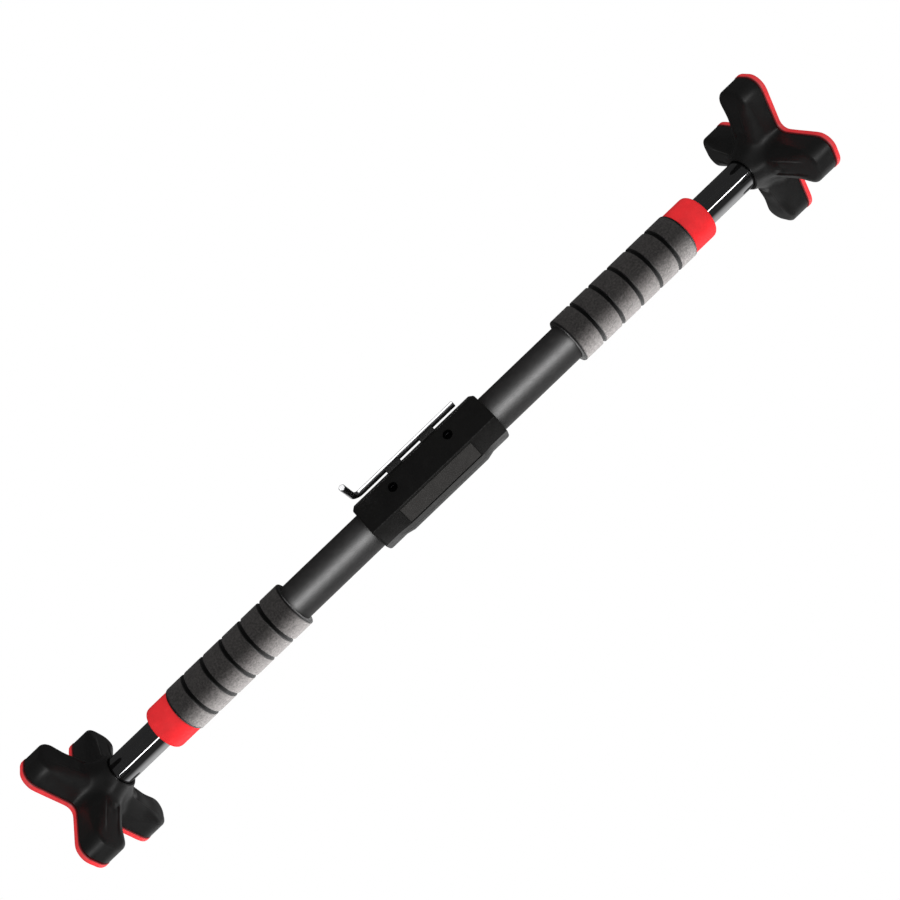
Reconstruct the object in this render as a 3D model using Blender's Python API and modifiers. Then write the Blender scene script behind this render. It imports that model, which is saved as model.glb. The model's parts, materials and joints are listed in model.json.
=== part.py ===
"""Doorway pull-up bar with two screw-out arms, a central locking housing and X-shaped end pads.

The bar lies along +X with its centre at the origin. +Z is up and -Y faces the person who hangs on it.
Each arm is an outer tube that turns in the housing and carries a threaded spindle. A nut in the inner
tube rides on that spindle, so twisting the outer tube pushes the end pad out against the door frame.
Two socket screws in the housing lock the arms, and their hex key is stored in clips on the housing.
"""

import math

import bmesh
import bpy
from mathutils import Vector

MM = 0.001
GAP = 0.3 * MM

# Driving sizes of the bar. Stations are distances from the bar's centre, outwards along an arm.
TUBE_RADIUS = 16.0 * MM
TUBE_BORE = 14.5 * MM
TUBE_START = 48.0 * MM
TUBE_END = 283.0 * MM
INNER_RADIUS = 12.5 * MM
INNER_BORE = 11.0 * MM
INNER_START = 108.0 * MM
INNER_END = 349.0 * MM
RUNNING_GAP = 0.35 * MM

FOAM_RADIUS = 20.25 * MM
FOAM_START = 146.0 * MM
FOAM_END = 263.85 * MM
FOAM_EDGE = 1.5 * MM

COLLAR_RADIUS = 19.3 * MM
COLLAR_START = 264.15 * MM
COLLAR_END = 286.4 * MM
COLLAR_ROUND = 3.5 * MM
COLLAR_LIP = 3.0 * MM
GUIDE_START = 258.0 * MM

# Threaded drive inside each arm.
SPINDLE_RADIUS = 8.0 * MM
SPINDLE_START = 50.0 * MM
SPINDLE_END = 205.0 * MM
SPINDLE_POINT = 3.0 * MM
PLUG_END = 62.0 * MM
PLUG_SHOULDER = 1.5 * MM
PIN_STATION = 56.0 * MM
PIN_RADIUS = 2.0 * MM
PIN_HALF_LENGTH = 13.6 * MM
NUT_FLANGE = 1.5 * MM
NUT_END = 128.0 * MM
TAIL_BUSH_START = 112.0 * MM
TAIL_BUSH_END = 128.0 * MM

# Journal that turns in the core block and is held by the lock pad.
JOURNAL_RADIUS = 6.0 * MM
JOURNAL_START = 17.0 * MM
NECK_RADIUS = 4.8 * MM
NECK_HALF_WIDTH = 4.0 * MM
JOURNAL_CHAMFER = 0.8 * MM
BUSH_RADIUS = 7.2 * MM
BUSH_START = 33.0 * MM
BUSH_FLANGE_RADIUS = 9.5 * MM
BUSH_FLANGE = 1.5 * MM

# End pads. Shell heights are measured from the plane on which the shell meets its sole.
SOLE_FACE = 369.0 * MM
SOLE_THICKNESS = 4.3 * MM
SHELL_BACK = SOLE_FACE - SOLE_THICKNESS - GAP
HUB_ENTRY = 332.7 * MM
ARM_REACH = 62.5 * MM
ARM_HALF_WIDTH = 15.1 * MM
ARM_CORNER = 12.0 * MM
NOTCH_BLEND = 9.0 * MM
SHELL_INSET = 0.5 * MM
SHELL_SIDE = 13.6 * MM
SHELL_ROUND = 7.0 * MM
CREST_INNER = (17.0 * MM, 22.4 * MM)
CREST_OUTER = (59.0 * MM, 15.6 * MM)
SHELL_WALL = 3.0 * MM
HUB_RADIUS = 15.2 * MM
HUB_SLOPE = 3.6
HUB_BLEND = 5.0 * MM
HUB_CHAMFER = 0.8 * MM
HUB_POST_RADIUS = 15.6 * MM
STEPS_PER_ARM = 12
SHELL_SHARES = (0.0, 0.08, 0.22, 0.42, 0.65, 0.84, 0.95, 1.0)
CEILING_SHARES = (0.0, 0.5, 1.0)
BOLT_RADIUS = 4.0 * MM
BOLT_HEAD_RADIUS = 6.5 * MM
BOLT_HEAD_HEIGHT = 4.6 * MM
BOLT_TIP = 340.0 * MM
WASHER_THICKNESS = 1.6 * MM
WASHER_RADIUS = 8.4 * MM
BOLT_SEAT = 357.0 * MM
END_PLUG_START = 338.0 * MM

# Central housing. Heights are measured from the bar's axis along the screw face's normal.
HOUSING_HALF = 63.5 * MM
HOUSING_INRADIUS = 22.0 * MM
HOUSING_WALL = 2.2 * MM
HOUSING_END_WALL = 2.5 * MM
HOUSING_END_CHAMFER = 1.2 * MM
HOUSING_EDGE = 1.2 * MM
SCREW_FACE_ANGLE = math.radians(13.7)
BELLY_ANGLE = math.radians(-100.0)
BELLY_DISTANCE = 19.9 * MM
HOUSING_BORE = TUBE_RADIUS + 0.5 * MM

# Raised label field on the lower front face, given as angle from the screw face's normal and radius.
FIELD_SECTION = ((-30.5, 25.2), (-71.5, 23.9), (-104.7, 23.5), (-100.0, 18.5), (-31.0, 18.5))
FIELD_FOOT_SECTION = ((-30.5, 24.9), (-71.5, 21.4), (-104.7, 19.6), (-100.0, 18.5), (-31.0, 18.5))
FIELD_HALF = 38.7 * MM
FIELD_FOOT_HALF = 55.0 * MM
LABEL_HALF = 36.5 * MM
LABEL_HALF_WIDTH = 7.2 * MM
LABEL_THICKNESS = 0.7 * MM
LABEL_RECESS = 0.8 * MM
LABEL_SEAT = 0.53

# Core block, cover screws and lock screws.
CORE_HALF = 44.0 * MM
CORE_HALF_WIDTH = 9.9 * MM
CORE_TOP = 10.2 * MM
CORE_BOTTOM = -19.4 * MM
CORE_BORE_START = 16.0 * MM
BOSS_STATION = 14.0 * MM
BOSS_OFFSET = 14.0 * MM
BOSS_RADIUS = 3.2 * MM
BOSS_TOP = 12.6 * MM
COVER_SCREW_RADIUS = 1.5 * MM
COVER_SCREW_HEAD_RADIUS = 2.8 * MM
COVER_SCREW_HEAD = 2.2 * MM
COVER_SCREW_SEAT = -13.0 * MM
COVER_SCREW_TIP = 8.5 * MM
LOCK_STATION = 28.5 * MM
LOCK_OFFSET = 3.5 * MM
LOCK_SHANK_RADIUS = 2.9 * MM
LOCK_HEAD_RADIUS = 5.0 * MM
LOCK_HEAD_HEIGHT = 5.6 * MM
LOCK_SOCKET_DEPTH = 3.2 * MM
LOCK_WASHER_RADIUS = 5.5 * MM
LOCK_WASHER_THICKNESS = 1.2 * MM
LOCK_PAD_TOP = 8.2 * MM
LOCK_ACCESS_RADIUS = 4.0 * MM

# Hex key and its clips on the upper front face.
KEY_FLATS = 5.0 * MM
KEY_RADIUS = KEY_FLATS / math.sqrt(3.0)
KEY_TIP = 48.7 * MM
KEY_BEND_CENTRE = -49.0 * MM
KEY_BEND_RADIUS = 6.5 * MM
KEY_BEND_STEPS = 6
KEY_ARM_REACH = 27.0 * MM
KEY_HEIGHT = 27.0 * MM
KEY_SIDE = -4.0 * MM
KEY_FACE_TURN = math.radians(60.0)
CLIP_STATION = 17.4 * MM
CLIP_LENGTH = 14.2 * MM
CLIP_TOP = 27.8 * MM
CLIP_ROOT = 20.5 * MM
CLIP_HALF_WIDTH = 5.2 * MM
SLOT_HALF_WIDTH = 3.2 * MM

TUBE_SIDES = 32
SMALL_SIDES = 20
CORNER_STEPS = 4
CUT_MARGIN = 20.0 * MM
CUT_SIZE = 260.0 * MM
SMOOTH_ANGLE = math.radians(35.0)
ALONG_BAR = (0.0, math.pi / 2.0, 0.0)
UPRIGHT = (0.0, 0.0, 0.0)

# Finishes: base colour, roughness, metallic.
FINISHES = {
    "black_plastic": ((0.012, 0.012, 0.013), 0.5, 0.0),
    "pad_plastic": ((0.01, 0.01, 0.011), 0.38, 0.0),
    "tube_paint": ((0.03, 0.03, 0.032), 0.55, 0.0),
    "inner_tube_paint": ((0.006, 0.006, 0.007), 0.15, 0.0),
    "foam": ((0.035, 0.035, 0.037), 0.9, 0.0),
    "red_plastic": ((0.72, 0.02, 0.025), 0.4, 0.0),
    "red_rubber": ((0.7, 0.02, 0.025), 0.6, 0.0),
    "label": ((0.05, 0.048, 0.046), 0.45, 0.0),
    "zinc_steel": ((0.6, 0.6, 0.62), 0.28, 1.0),
    "machined_steel": ((0.45, 0.45, 0.46), 0.35, 1.0),
    "cast_alloy": ((0.5, 0.5, 0.51), 0.5, 1.0),
    "bronze": ((0.55, 0.38, 0.17), 0.35, 1.0),
    "nylon": ((0.75, 0.74, 0.7), 0.45, 0.0),
}


def clear_scene():
    for old in list(bpy.data.objects):
        bpy.data.objects.remove(old, do_unlink=True)


def new_collection(name):
    collection = bpy.data.collections.new(name)
    bpy.context.scene.collection.children.link(collection)
    return collection


def finish_for(piece, finish):
    colour, roughness, metallic = FINISHES[finish]
    material = bpy.data.materials.new(f"{piece.name}_{finish}")
    material.use_nodes = True
    shader = material.node_tree.nodes["Principled BSDF"]
    shader.inputs["Base Color"].default_value = (*colour, 1.0)
    shader.inputs["Roughness"].default_value = roughness
    shader.inputs["Metallic"].default_value = metallic
    piece.data.materials.append(material)


def empty(name, rotation):
    frame = bpy.data.objects.new(name, None)
    frame.rotation_euler = rotation
    parts.objects.link(frame)
    return frame


def add_object(name, data, frame, location=(0.0, 0.0, 0.0), rotation=(0.0, 0.0, 0.0), finish=None):
    """Adds an object in a frame. Without a finish it is a cutter, which is never part of the bar."""
    piece = bpy.data.objects.new(name, data)
    piece.parent = frame
    piece.location = location
    piece.rotation_euler = rotation
    if finish is None:
        cutters.objects.link(piece)
        piece.hide_render = True
        piece.display_type = "WIRE"
    else:
        parts.objects.link(piece)
        finish_for(piece, finish)
    return piece


def mesh_from(bm, name, smooth=False):
    bmesh.ops.recalc_face_normals(bm, faces=bm.faces)
    mesh = bpy.data.meshes.new(name)
    bm.to_mesh(mesh)
    bm.free()
    if smooth:
        mesh.shade_smooth()
        mesh.set_sharp_from_angle(angle=SMOOTH_ANGLE)
    return mesh


def turned(name, outline, frame, finish=None, location=(0.0, 0.0, 0.0), rotation=ALONG_BAR, sides=TUBE_SIDES):
    """Turns an outline of (station, radius) points about the bar's axis, or about the frame's Z if upright.

    The outline starts at the outboard end, runs inwards along the outside and returns along the bore.
    """
    hollow = min(radius for _, radius in outline) > 0.0
    count = len(outline)
    edges = [(index, index + 1) for index in range(count - 1)]
    if hollow:
        edges.append((count - 1, 0))
    mesh = bpy.data.meshes.new(name)
    mesh.from_pydata([(radius, 0.0, station) for station, radius in outline], edges, [])
    piece = add_object(name, mesh, frame, location, rotation, finish)
    screw = piece.modifiers.new("Turn", "SCREW")
    screw.axis = "Z"
    screw.angle = math.tau
    screw.steps = sides
    screw.render_steps = sides
    screw.use_merge_vertices = True
    screw.merge_threshold = 0.01 * MM
    return piece


def sleeve(start, end, radius, bore):
    return [(end, bore), (end, radius), (start, radius), (start, bore)]


def rod(start, end, radius):
    return [(end, 0.0), (end, radius), (start, radius), (start, 0.0)]


def box(name, size, frame, location=(0.0, 0.0, 0.0), rotation=(0.0, 0.0, 0.0), finish=None):
    bm = bmesh.new()
    bmesh.ops.create_cube(bm, size=1.0)
    bmesh.ops.scale(bm, vec=Vector(size), verts=bm.verts)
    return add_object(name, mesh_from(bm, name), frame, location, rotation, finish)


def cylinder(name, radius, start, end, frame, centre=(0.0, 0.0), rotation=(0.0, 0.0, 0.0),
             sides=SMALL_SIDES, finish=None):
    """A cylinder along its own Z from start to end, standing at centre in the frame."""
    bm = bmesh.new()
    bmesh.ops.create_cone(bm, cap_ends=True, segments=sides, radius1=radius, radius2=radius,
                          depth=end - start)
    bmesh.ops.translate(bm, vec=(0.0, 0.0, (start + end) / 2.0), verts=bm.verts)
    return add_object(name, mesh_from(bm, name, True), frame, (*centre, 0.0), rotation, finish)


def hull(name, points, frame, rotation=(0.0, 0.0, 0.0), finish=None, edge=0.0):
    """The convex solid through the points, with its long edges rounded if edge is given."""
    bm = bmesh.new()
    for point in points:
        bm.verts.new(point)
    result = bmesh.ops.convex_hull(bm, input=bm.verts)
    loose = {item for item in result["geom_interior"] + result["geom_unused"]
             if isinstance(item, bmesh.types.BMVert)}
    bmesh.ops.delete(bm, geom=list(loose), context="VERTS")
    bmesh.ops.dissolve_limit(bm, angle_limit=math.radians(0.5), verts=bm.verts, edges=bm.edges)
    piece = add_object(name, mesh_from(bm, name), frame, (0.0, 0.0, 0.0), rotation, finish)
    if edge > 0.0:
        bevel = piece.modifiers.new("Rounded_edges", "BEVEL")
        bevel.width = edge
        bevel.segments = 2
        bevel.limit_method = "ANGLE"
        bevel.angle_limit = SMOOTH_ANGLE
    return piece


def shape(piece, tool, operation="DIFFERENCE"):
    modifier = piece.modifiers.new(tool.name, "BOOLEAN")
    modifier.operation = operation
    modifier.solver = "EXACT"
    modifier.object = tool


def hexagon_loop(inradius, station):
    """A hexagon across the bar with one flat facing the frame's +Z, as points in the housing's frame."""
    radius = inradius / math.cos(math.pi / 6.0)
    points = []
    for corner in range(6):
        angle = math.pi / 6.0 + corner * math.pi / 3.0
        points.append((station, radius * math.sin(angle), radius * math.cos(angle)))
    return points


def polar_loop(section, station):
    """Section points given as angle in degrees from the screw face's normal and radius in mm."""
    points = []
    for degrees, radius in section:
        angle = math.radians(degrees)
        points.append((station, radius * MM * math.sin(angle), radius * MM * math.cos(angle)))
    return points


def casing_prism(name, inset, half_length, chamfer, edge, finish=None):
    """A hexagonal prism along the bar with chamfered ends and a flattened belly under the label field."""
    loops = []
    for side in (-1.0, 1.0):
        loops += hexagon_loop(HOUSING_INRADIUS - inset, side * (half_length - chamfer))
        loops += hexagon_loop(HOUSING_INRADIUS - inset - chamfer, side * half_length)
    prism = hull(name, loops, housing_frame, finish=finish, edge=edge)
    belly = box(f"{name}_belly_cut", (CUT_SIZE, CUT_SIZE, CUT_MARGIN), housing_frame)
    reach = BELLY_DISTANCE - inset + CUT_MARGIN / 2.0
    belly.location = (0.0, reach * math.sin(BELLY_ANGLE), reach * math.cos(BELLY_ANGLE))
    belly.rotation_euler = (-BELLY_ANGLE, 0.0, 0.0)
    shape(prism, belly)
    return prism


def on_key_face(height, side):
    """A point above the key face, as offset and height in the housing's frame."""
    offset = height * math.sin(KEY_FACE_TURN) + side * math.cos(KEY_FACE_TURN)
    rise = height * math.cos(KEY_FACE_TURN) - side * math.sin(KEY_FACE_TURN)
    return offset, rise


def label_place(depth):
    """Centre of the label on the raised field, sunk by depth, and the field's angle."""
    upper, lower = (Vector(point) for point in polar_loop(FIELD_SECTION[:2], 0.0))
    along = lower - upper
    angle = math.atan2(-along.z, -along.y)
    normal = Vector((0.0, -math.sin(angle), math.cos(angle)))
    middle = upper.lerp(lower, LABEL_SEAT)
    return middle - normal * depth, angle


def build_label():
    place, angle = label_place(LABEL_RECESS - LABEL_THICKNESS / 2.0)
    size = (2.0 * LABEL_HALF, 2.0 * LABEL_HALF_WIDTH, LABEL_THICKNESS)
    box("label_plate", size, housing_frame, place, (angle, 0.0, 0.0), "label")


def label_recess(name):
    place, angle = label_place(0.0)
    size = (2.0 * (LABEL_HALF + GAP), 2.0 * (LABEL_HALF_WIDTH + GAP), 2.0 * (LABEL_RECESS + GAP))
    return box(name, size, housing_frame, place, (angle, 0.0, 0.0))


def casing_half(name, front):
    """One half of the housing: the hexagonal casing with the label field, hollowed and cut at its middle."""
    casing = casing_prism(name, 0.0, HOUSING_HALF, HOUSING_END_CHAMFER, HOUSING_EDGE, "black_plastic")
    loops = []
    for side in (-1.0, 1.0):
        loops += polar_loop(FIELD_SECTION, side * FIELD_HALF)
        loops += polar_loop(FIELD_FOOT_SECTION, side * FIELD_FOOT_HALF)
    shape(casing, hull(f"{name}_field", loops, housing_frame), "UNION")
    if front:
        for label, side in (("left", -1.0), ("right", 1.0)):
            shape(casing, clip_block(f"{name}_{label}_clip", side), "UNION")
    cavity = casing_prism(f"{name}_cavity", HOUSING_WALL, HOUSING_HALF - HOUSING_END_WALL, 0.0, 0.0)
    shape(casing, cavity)
    shape(casing, cylinder(f"{name}_bore", HOUSING_BORE, -CUT_SIZE, CUT_SIZE, housing_frame,
                           rotation=ALONG_BAR, sides=TUBE_SIDES))
    away = -1.0 if front else 1.0
    shape(casing, box(f"{name}_half_cut", (CUT_SIZE, CUT_SIZE, CUT_SIZE), housing_frame,
                      (0.0, 0.0, away * (CUT_SIZE - GAP) / 2.0)))
    if front:
        finish_front(casing)
    else:
        finish_rear(casing)


def boss_places():
    return [(x * BOSS_STATION, y * BOSS_OFFSET) for x in (-1.0, 1.0) for y in (-1.0, 1.0)]


def finish_front(casing):
    """Screw bosses, key slots, lock screw access holes and the label recess."""
    for index, place in enumerate(boss_places(), 1):
        boss = cylinder(f"front_boss_{index}", BOSS_RADIUS, GAP / 2.0, BOSS_TOP, housing_frame, place)
        shape(casing, boss, "UNION")
    for index, place in enumerate(boss_places(), 1):
        shape(casing, cylinder(f"front_pilot_{index}", COVER_SCREW_RADIUS + GAP, -GAP, COVER_SCREW_TIP + GAP,
                               housing_frame, place))
    shape(casing, key_slot())
    for label, side in (("left", -1.0), ("right", 1.0)):
        place = (side * LOCK_STATION, LOCK_OFFSET)
        shape(casing, cylinder(f"{label}_access", LOCK_ACCESS_RADIUS, CORE_TOP, HOUSING_HALF, housing_frame,
                               place, sides=TUBE_SIDES))
    shape(casing, label_recess("label_recess"))


def finish_rear(casing):
    """Screw bosses with through holes and counterbores that open on the rear faces."""
    for index, place in enumerate(boss_places(), 1):
        boss = cylinder(f"rear_boss_{index}", BOSS_RADIUS, -BOSS_TOP, -GAP / 2.0, housing_frame, place)
        shape(casing, boss, "UNION")
    for index, place in enumerate(boss_places(), 1):
        shape(casing, cylinder(f"rear_hole_{index}", COVER_SCREW_RADIUS + GAP, -HOUSING_HALF, GAP,
                               housing_frame, place))
        shape(casing, cylinder(f"rear_counterbore_{index}", COVER_SCREW_HEAD_RADIUS + GAP, -HOUSING_HALF,
                               COVER_SCREW_SEAT, housing_frame, place))


def clip_block(name, side):
    middle = (CLIP_TOP + CLIP_ROOT) / 2.0
    offset, rise = on_key_face(middle, KEY_SIDE)
    size = (CLIP_LENGTH, 2.0 * CLIP_HALF_WIDTH, CLIP_TOP - CLIP_ROOT)
    return box(name, size, housing_frame, (side * CLIP_STATION, offset, rise), (-KEY_FACE_TURN, 0.0, 0.0))


def key_slot():
    """A slot along both clips, open outwards, with a round bottom that the key lies in."""
    offset, rise = on_key_face(KEY_HEIGHT, KEY_SIDE)
    slot = cylinder("key_slot", SLOT_HALF_WIDTH, -HOUSING_HALF, HOUSING_HALF, housing_frame,
                    rotation=ALONG_BAR)
    slot.location = (0.0, offset, rise)
    size = (2.0 * HOUSING_HALF, 2.0 * SLOT_HALF_WIDTH, CUT_MARGIN)
    offset, rise = on_key_face(KEY_HEIGHT + CUT_MARGIN / 2.0, KEY_SIDE)
    mouth = box("key_slot_mouth", size, housing_frame, (0.0, offset, rise), (-KEY_FACE_TURN, 0.0, 0.0))
    shape(slot, mouth, "UNION")
    return slot


def build_hex_key():
    """A hexagonal rod with a long arm along the bar and a short arm parallel to the screw face's normal."""
    offset, rise = on_key_face(KEY_HEIGHT, KEY_SIDE)
    points = [(KEY_TIP, 0.0, 0.0)]
    for step in range(KEY_BEND_STEPS + 1):
        angle = step / KEY_BEND_STEPS * math.pi / 2.0
        points.append((KEY_BEND_CENTRE - KEY_BEND_RADIUS * math.sin(angle), 0.0,
                       KEY_BEND_RADIUS * (1.0 - math.cos(angle))))
    points.append((KEY_BEND_CENTRE - KEY_BEND_RADIUS, 0.0, KEY_ARM_REACH))
    curve = bpy.data.curves.new("hex_key", "CURVE")
    curve.dimensions = "3D"
    spline = curve.splines.new("POLY")
    spline.points.add(len(points) - 1)
    for knot, point in zip(spline.points, points):
        knot.co = (*point, 1.0)
    curve.bevel_depth = KEY_RADIUS
    curve.bevel_resolution = 1
    curve.use_fill_caps = True
    add_object("hex_key", curve, housing_frame, (0.0, offset, rise), finish="zinc_steel")


def build_core_block():
    size = (2.0 * CORE_HALF, 2.0 * CORE_HALF_WIDTH, CORE_TOP - CORE_BOTTOM)
    middle = (0.0, 0.0, (CORE_TOP + CORE_BOTTOM) / 2.0)
    core = box("core_block", size, housing_frame, middle, finish="cast_alloy")
    for label, side in (("left", -1.0), ("right", 1.0)):
        ends = sorted((side * CORE_BORE_START, side * HOUSING_HALF))
        shape(core, cylinder(f"{label}_journal_bore", JOURNAL_RADIUS + GAP, *ends, housing_frame,
                             rotation=ALONG_BAR, sides=TUBE_SIDES))
        ends = sorted((side * (BUSH_START - GAP), side * HOUSING_HALF))
        shape(core, cylinder(f"{label}_bush_bore", BUSH_RADIUS + GAP, *ends, housing_frame,
                             rotation=ALONG_BAR, sides=TUBE_SIDES))
        shape(core, cylinder(f"{label}_lock_thread", LOCK_SHANK_RADIUS + GAP, 0.0, HOUSING_HALF,
                             housing_frame, (side * LOCK_STATION, LOCK_OFFSET)))


def build_cover_screws():
    outline = [
        (COVER_SCREW_TIP, 0.0),
        (COVER_SCREW_TIP, COVER_SCREW_RADIUS),
        (COVER_SCREW_SEAT - GAP, COVER_SCREW_RADIUS),
        (COVER_SCREW_SEAT - GAP, COVER_SCREW_HEAD_RADIUS),
        (COVER_SCREW_SEAT - GAP - COVER_SCREW_HEAD, COVER_SCREW_HEAD_RADIUS),
        (COVER_SCREW_SEAT - GAP - COVER_SCREW_HEAD, 0.0),
    ]
    for index, place in enumerate(boss_places(), 1):
        turned(f"cover_screw_{index}", outline, housing_frame, "machined_steel", (*place, 0.0), UPRIGHT,
               SMALL_SIDES)


def build_lock(label, side):
    """Lock pad, washer and socket-head screw, stacked on the screw face's normal."""
    place = (side * LOCK_STATION, LOCK_OFFSET, 0.0)
    pad_foot = NECK_RADIUS + GAP
    turned(f"{label}_lock_pad", rod(pad_foot, LOCK_PAD_TOP, LOCK_SHANK_RADIUS), housing_frame, "bronze",
           place, UPRIGHT, SMALL_SIDES)
    washer_foot = CORE_TOP + GAP
    washer_top = washer_foot + LOCK_WASHER_THICKNESS
    washer = sleeve(washer_foot, washer_top, LOCK_WASHER_RADIUS, LOCK_SHANK_RADIUS + GAP)
    turned(f"{label}_lock_washer", washer, housing_frame, "machined_steel", place, UPRIGHT, SMALL_SIDES)
    head_foot = washer_top + GAP
    head_top = head_foot + LOCK_HEAD_HEIGHT
    outline = [
        (head_top, 0.0),
        (head_top, LOCK_HEAD_RADIUS),
        (head_foot, LOCK_HEAD_RADIUS),
        (head_foot, LOCK_SHANK_RADIUS),
        (LOCK_PAD_TOP + GAP, LOCK_SHANK_RADIUS),
        (LOCK_PAD_TOP + GAP, 0.0),
    ]
    screw = turned(f"{label}_lock_screw", outline, housing_frame, "zinc_steel", place, UPRIGHT, SMALL_SIDES)
    shape(screw, cylinder(f"{label}_lock_socket", KEY_RADIUS + GAP / 2.0, head_top - LOCK_SOCKET_DEPTH,
                          HOUSING_HALF, housing_frame, place[:2], sides=6))


def build_drive(label, frame):
    """Journal bush, spindle plug, cross pin and spindle: what turns with the outer tube."""
    bush = [
        (CORE_HALF + GAP + BUSH_FLANGE, JOURNAL_RADIUS + GAP / 2.0),
        (CORE_HALF + GAP + BUSH_FLANGE, BUSH_FLANGE_RADIUS),
        (CORE_HALF + GAP, BUSH_FLANGE_RADIUS),
        (CORE_HALF + GAP, BUSH_RADIUS),
        (BUSH_START, BUSH_RADIUS),
        (BUSH_START, JOURNAL_RADIUS + GAP / 2.0),
    ]
    turned(f"{label}_journal_bush", bush, frame, "bronze")

    shoulder = TUBE_START - GAP - PLUG_SHOULDER
    outline = [
        (PLUG_END, 0.0),
        (PLUG_END, TUBE_BORE - GAP),
        (TUBE_START - GAP, TUBE_BORE - GAP),
        (TUBE_START - GAP, TUBE_RADIUS - GAP),
        (shoulder, TUBE_RADIUS - GAP),
        (shoulder, JOURNAL_RADIUS),
        (LOCK_STATION + NECK_HALF_WIDTH, JOURNAL_RADIUS),
        (LOCK_STATION + NECK_HALF_WIDTH, NECK_RADIUS),
        (LOCK_STATION - NECK_HALF_WIDTH, NECK_RADIUS),
        (LOCK_STATION - NECK_HALF_WIDTH, JOURNAL_RADIUS),
        (JOURNAL_START + JOURNAL_CHAMFER, JOURNAL_RADIUS),
        (JOURNAL_START, JOURNAL_RADIUS - JOURNAL_CHAMFER),
        (JOURNAL_START, 0.0),
    ]
    plug = turned(f"{label}_spindle_plug", outline, frame, "machined_steel")
    shape(plug, turned(f"{label}_plug_bore", rod(SPINDLE_START - GAP, PLUG_END + CUT_MARGIN,
                                                 SPINDLE_RADIUS + GAP), frame))
    outline = [
        (SPINDLE_END, 0.0),
        (SPINDLE_END, SPINDLE_RADIUS - SPINDLE_POINT / 2.0),
        (SPINDLE_END - SPINDLE_POINT, SPINDLE_RADIUS),
        (SPINDLE_START, SPINDLE_RADIUS),
        (SPINDLE_START, 0.0),
    ]
    spindle = turned(f"{label}_spindle", outline, frame, "machined_steel")
    for piece in (plug, spindle):
        shape(piece, cylinder(f"{piece.name}_pin_hole", PIN_RADIUS + GAP, -TUBE_RADIUS, TUBE_RADIUS, frame,
                              (PIN_STATION, 0.0)))
    cylinder(f"{label}_spindle_pin", PIN_RADIUS, -PIN_HALF_LENGTH, PIN_HALF_LENGTH, frame, (PIN_STATION, 0.0),
             finish="machined_steel")


def build_arm(label, frame):
    """Outer tube with its foam grip, red end collar and guide bush."""
    turned(f"{label}_outer_tube", sleeve(TUBE_START, TUBE_END, TUBE_RADIUS, TUBE_BORE), frame, "tube_paint")
    foam = [
        (FOAM_END, TUBE_RADIUS + GAP),
        (FOAM_END, FOAM_RADIUS),
        (FOAM_START + FOAM_EDGE, FOAM_RADIUS),
        (FOAM_START, FOAM_RADIUS - FOAM_EDGE),
        (FOAM_START, TUBE_RADIUS + GAP),
    ]
    turned(f"{label}_foam_grip", foam, frame, "foam")
    lip_start = COLLAR_END - COLLAR_LIP
    collar = [(COLLAR_END, INNER_RADIUS + RUNNING_GAP)]
    for step in range(CORNER_STEPS + 1):
        angle = step / CORNER_STEPS * math.pi / 2.0
        collar.append((COLLAR_END - COLLAR_ROUND * (1.0 - math.cos(angle)),
                       COLLAR_RADIUS - COLLAR_ROUND * (1.0 - math.sin(angle))))
    collar += [
        (COLLAR_START, COLLAR_RADIUS),
        (COLLAR_START, TUBE_RADIUS + GAP),
        (lip_start, TUBE_RADIUS + GAP),
        (lip_start, INNER_RADIUS + RUNNING_GAP),
    ]
    turned(f"{label}_end_collar", collar, frame, "red_plastic")
    turned(f"{label}_guide_bush", sleeve(GUIDE_START, TUBE_END - GAP, TUBE_BORE - GAP,
                                         INNER_RADIUS + RUNNING_GAP), frame, "nylon")


def build_slider(label, frame):
    """Inner tube with the spindle nut, its tail bush and the threaded end plug."""
    turned(f"{label}_inner_tube", sleeve(INNER_START, INNER_END, INNER_RADIUS, INNER_BORE), frame,
           "inner_tube_paint")
    flange = INNER_START - GAP
    nut = [
        (NUT_END, SPINDLE_RADIUS + GAP),
        (NUT_END, INNER_BORE - GAP),
        (flange, INNER_BORE - GAP),
        (flange, INNER_RADIUS),
        (flange - NUT_FLANGE, INNER_RADIUS),
        (flange - NUT_FLANGE, SPINDLE_RADIUS + GAP),
    ]
    turned(f"{label}_spindle_nut", nut, frame, "bronze")
    turned(f"{label}_tail_bush", sleeve(TAIL_BUSH_START, TAIL_BUSH_END, TUBE_BORE - RUNNING_GAP,
                                        INNER_RADIUS + GAP), frame, "nylon")
    turned(f"{label}_end_plug", sleeve(END_PLUG_START, INNER_END, INNER_BORE - GAP, BOLT_RADIUS + GAP), frame,
           "machined_steel")


def smooth_max(first, second, blend):
    mix = max(blend - abs(first - second), 0.0) / blend
    return max(first, second) + mix * mix * blend / 4.0


def pad_depth(across, up):
    """How far a point lies inside the X outline of the pad, with the notches between its arms rounded."""
    depths = []
    for turn in (math.pi / 4.0, -math.pi / 4.0):
        along = abs(across * math.cos(turn) + up * math.sin(turn)) - (ARM_REACH - ARM_CORNER)
        aside = abs(up * math.cos(turn) - across * math.sin(turn)) - (ARM_HALF_WIDTH - ARM_CORNER)
        outside = math.hypot(max(along, 0.0), max(aside, 0.0))
        depths.append(ARM_CORNER - outside - min(max(along, aside), 0.0))
    return smooth_max(*depths, NOTCH_BLEND)


def outline_radius(angle, inset):
    """Radius at which the pad's outline, moved inwards by inset, crosses a ray from the bar's axis."""
    low, high = 0.0, 2.0 * ARM_REACH
    while high - low > 0.001 * MM:
        middle = (low + high) / 2.0
        if pad_depth(middle * math.cos(angle), middle * math.sin(angle)) > inset:
            low = middle
        else:
            high = middle
    return low


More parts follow.
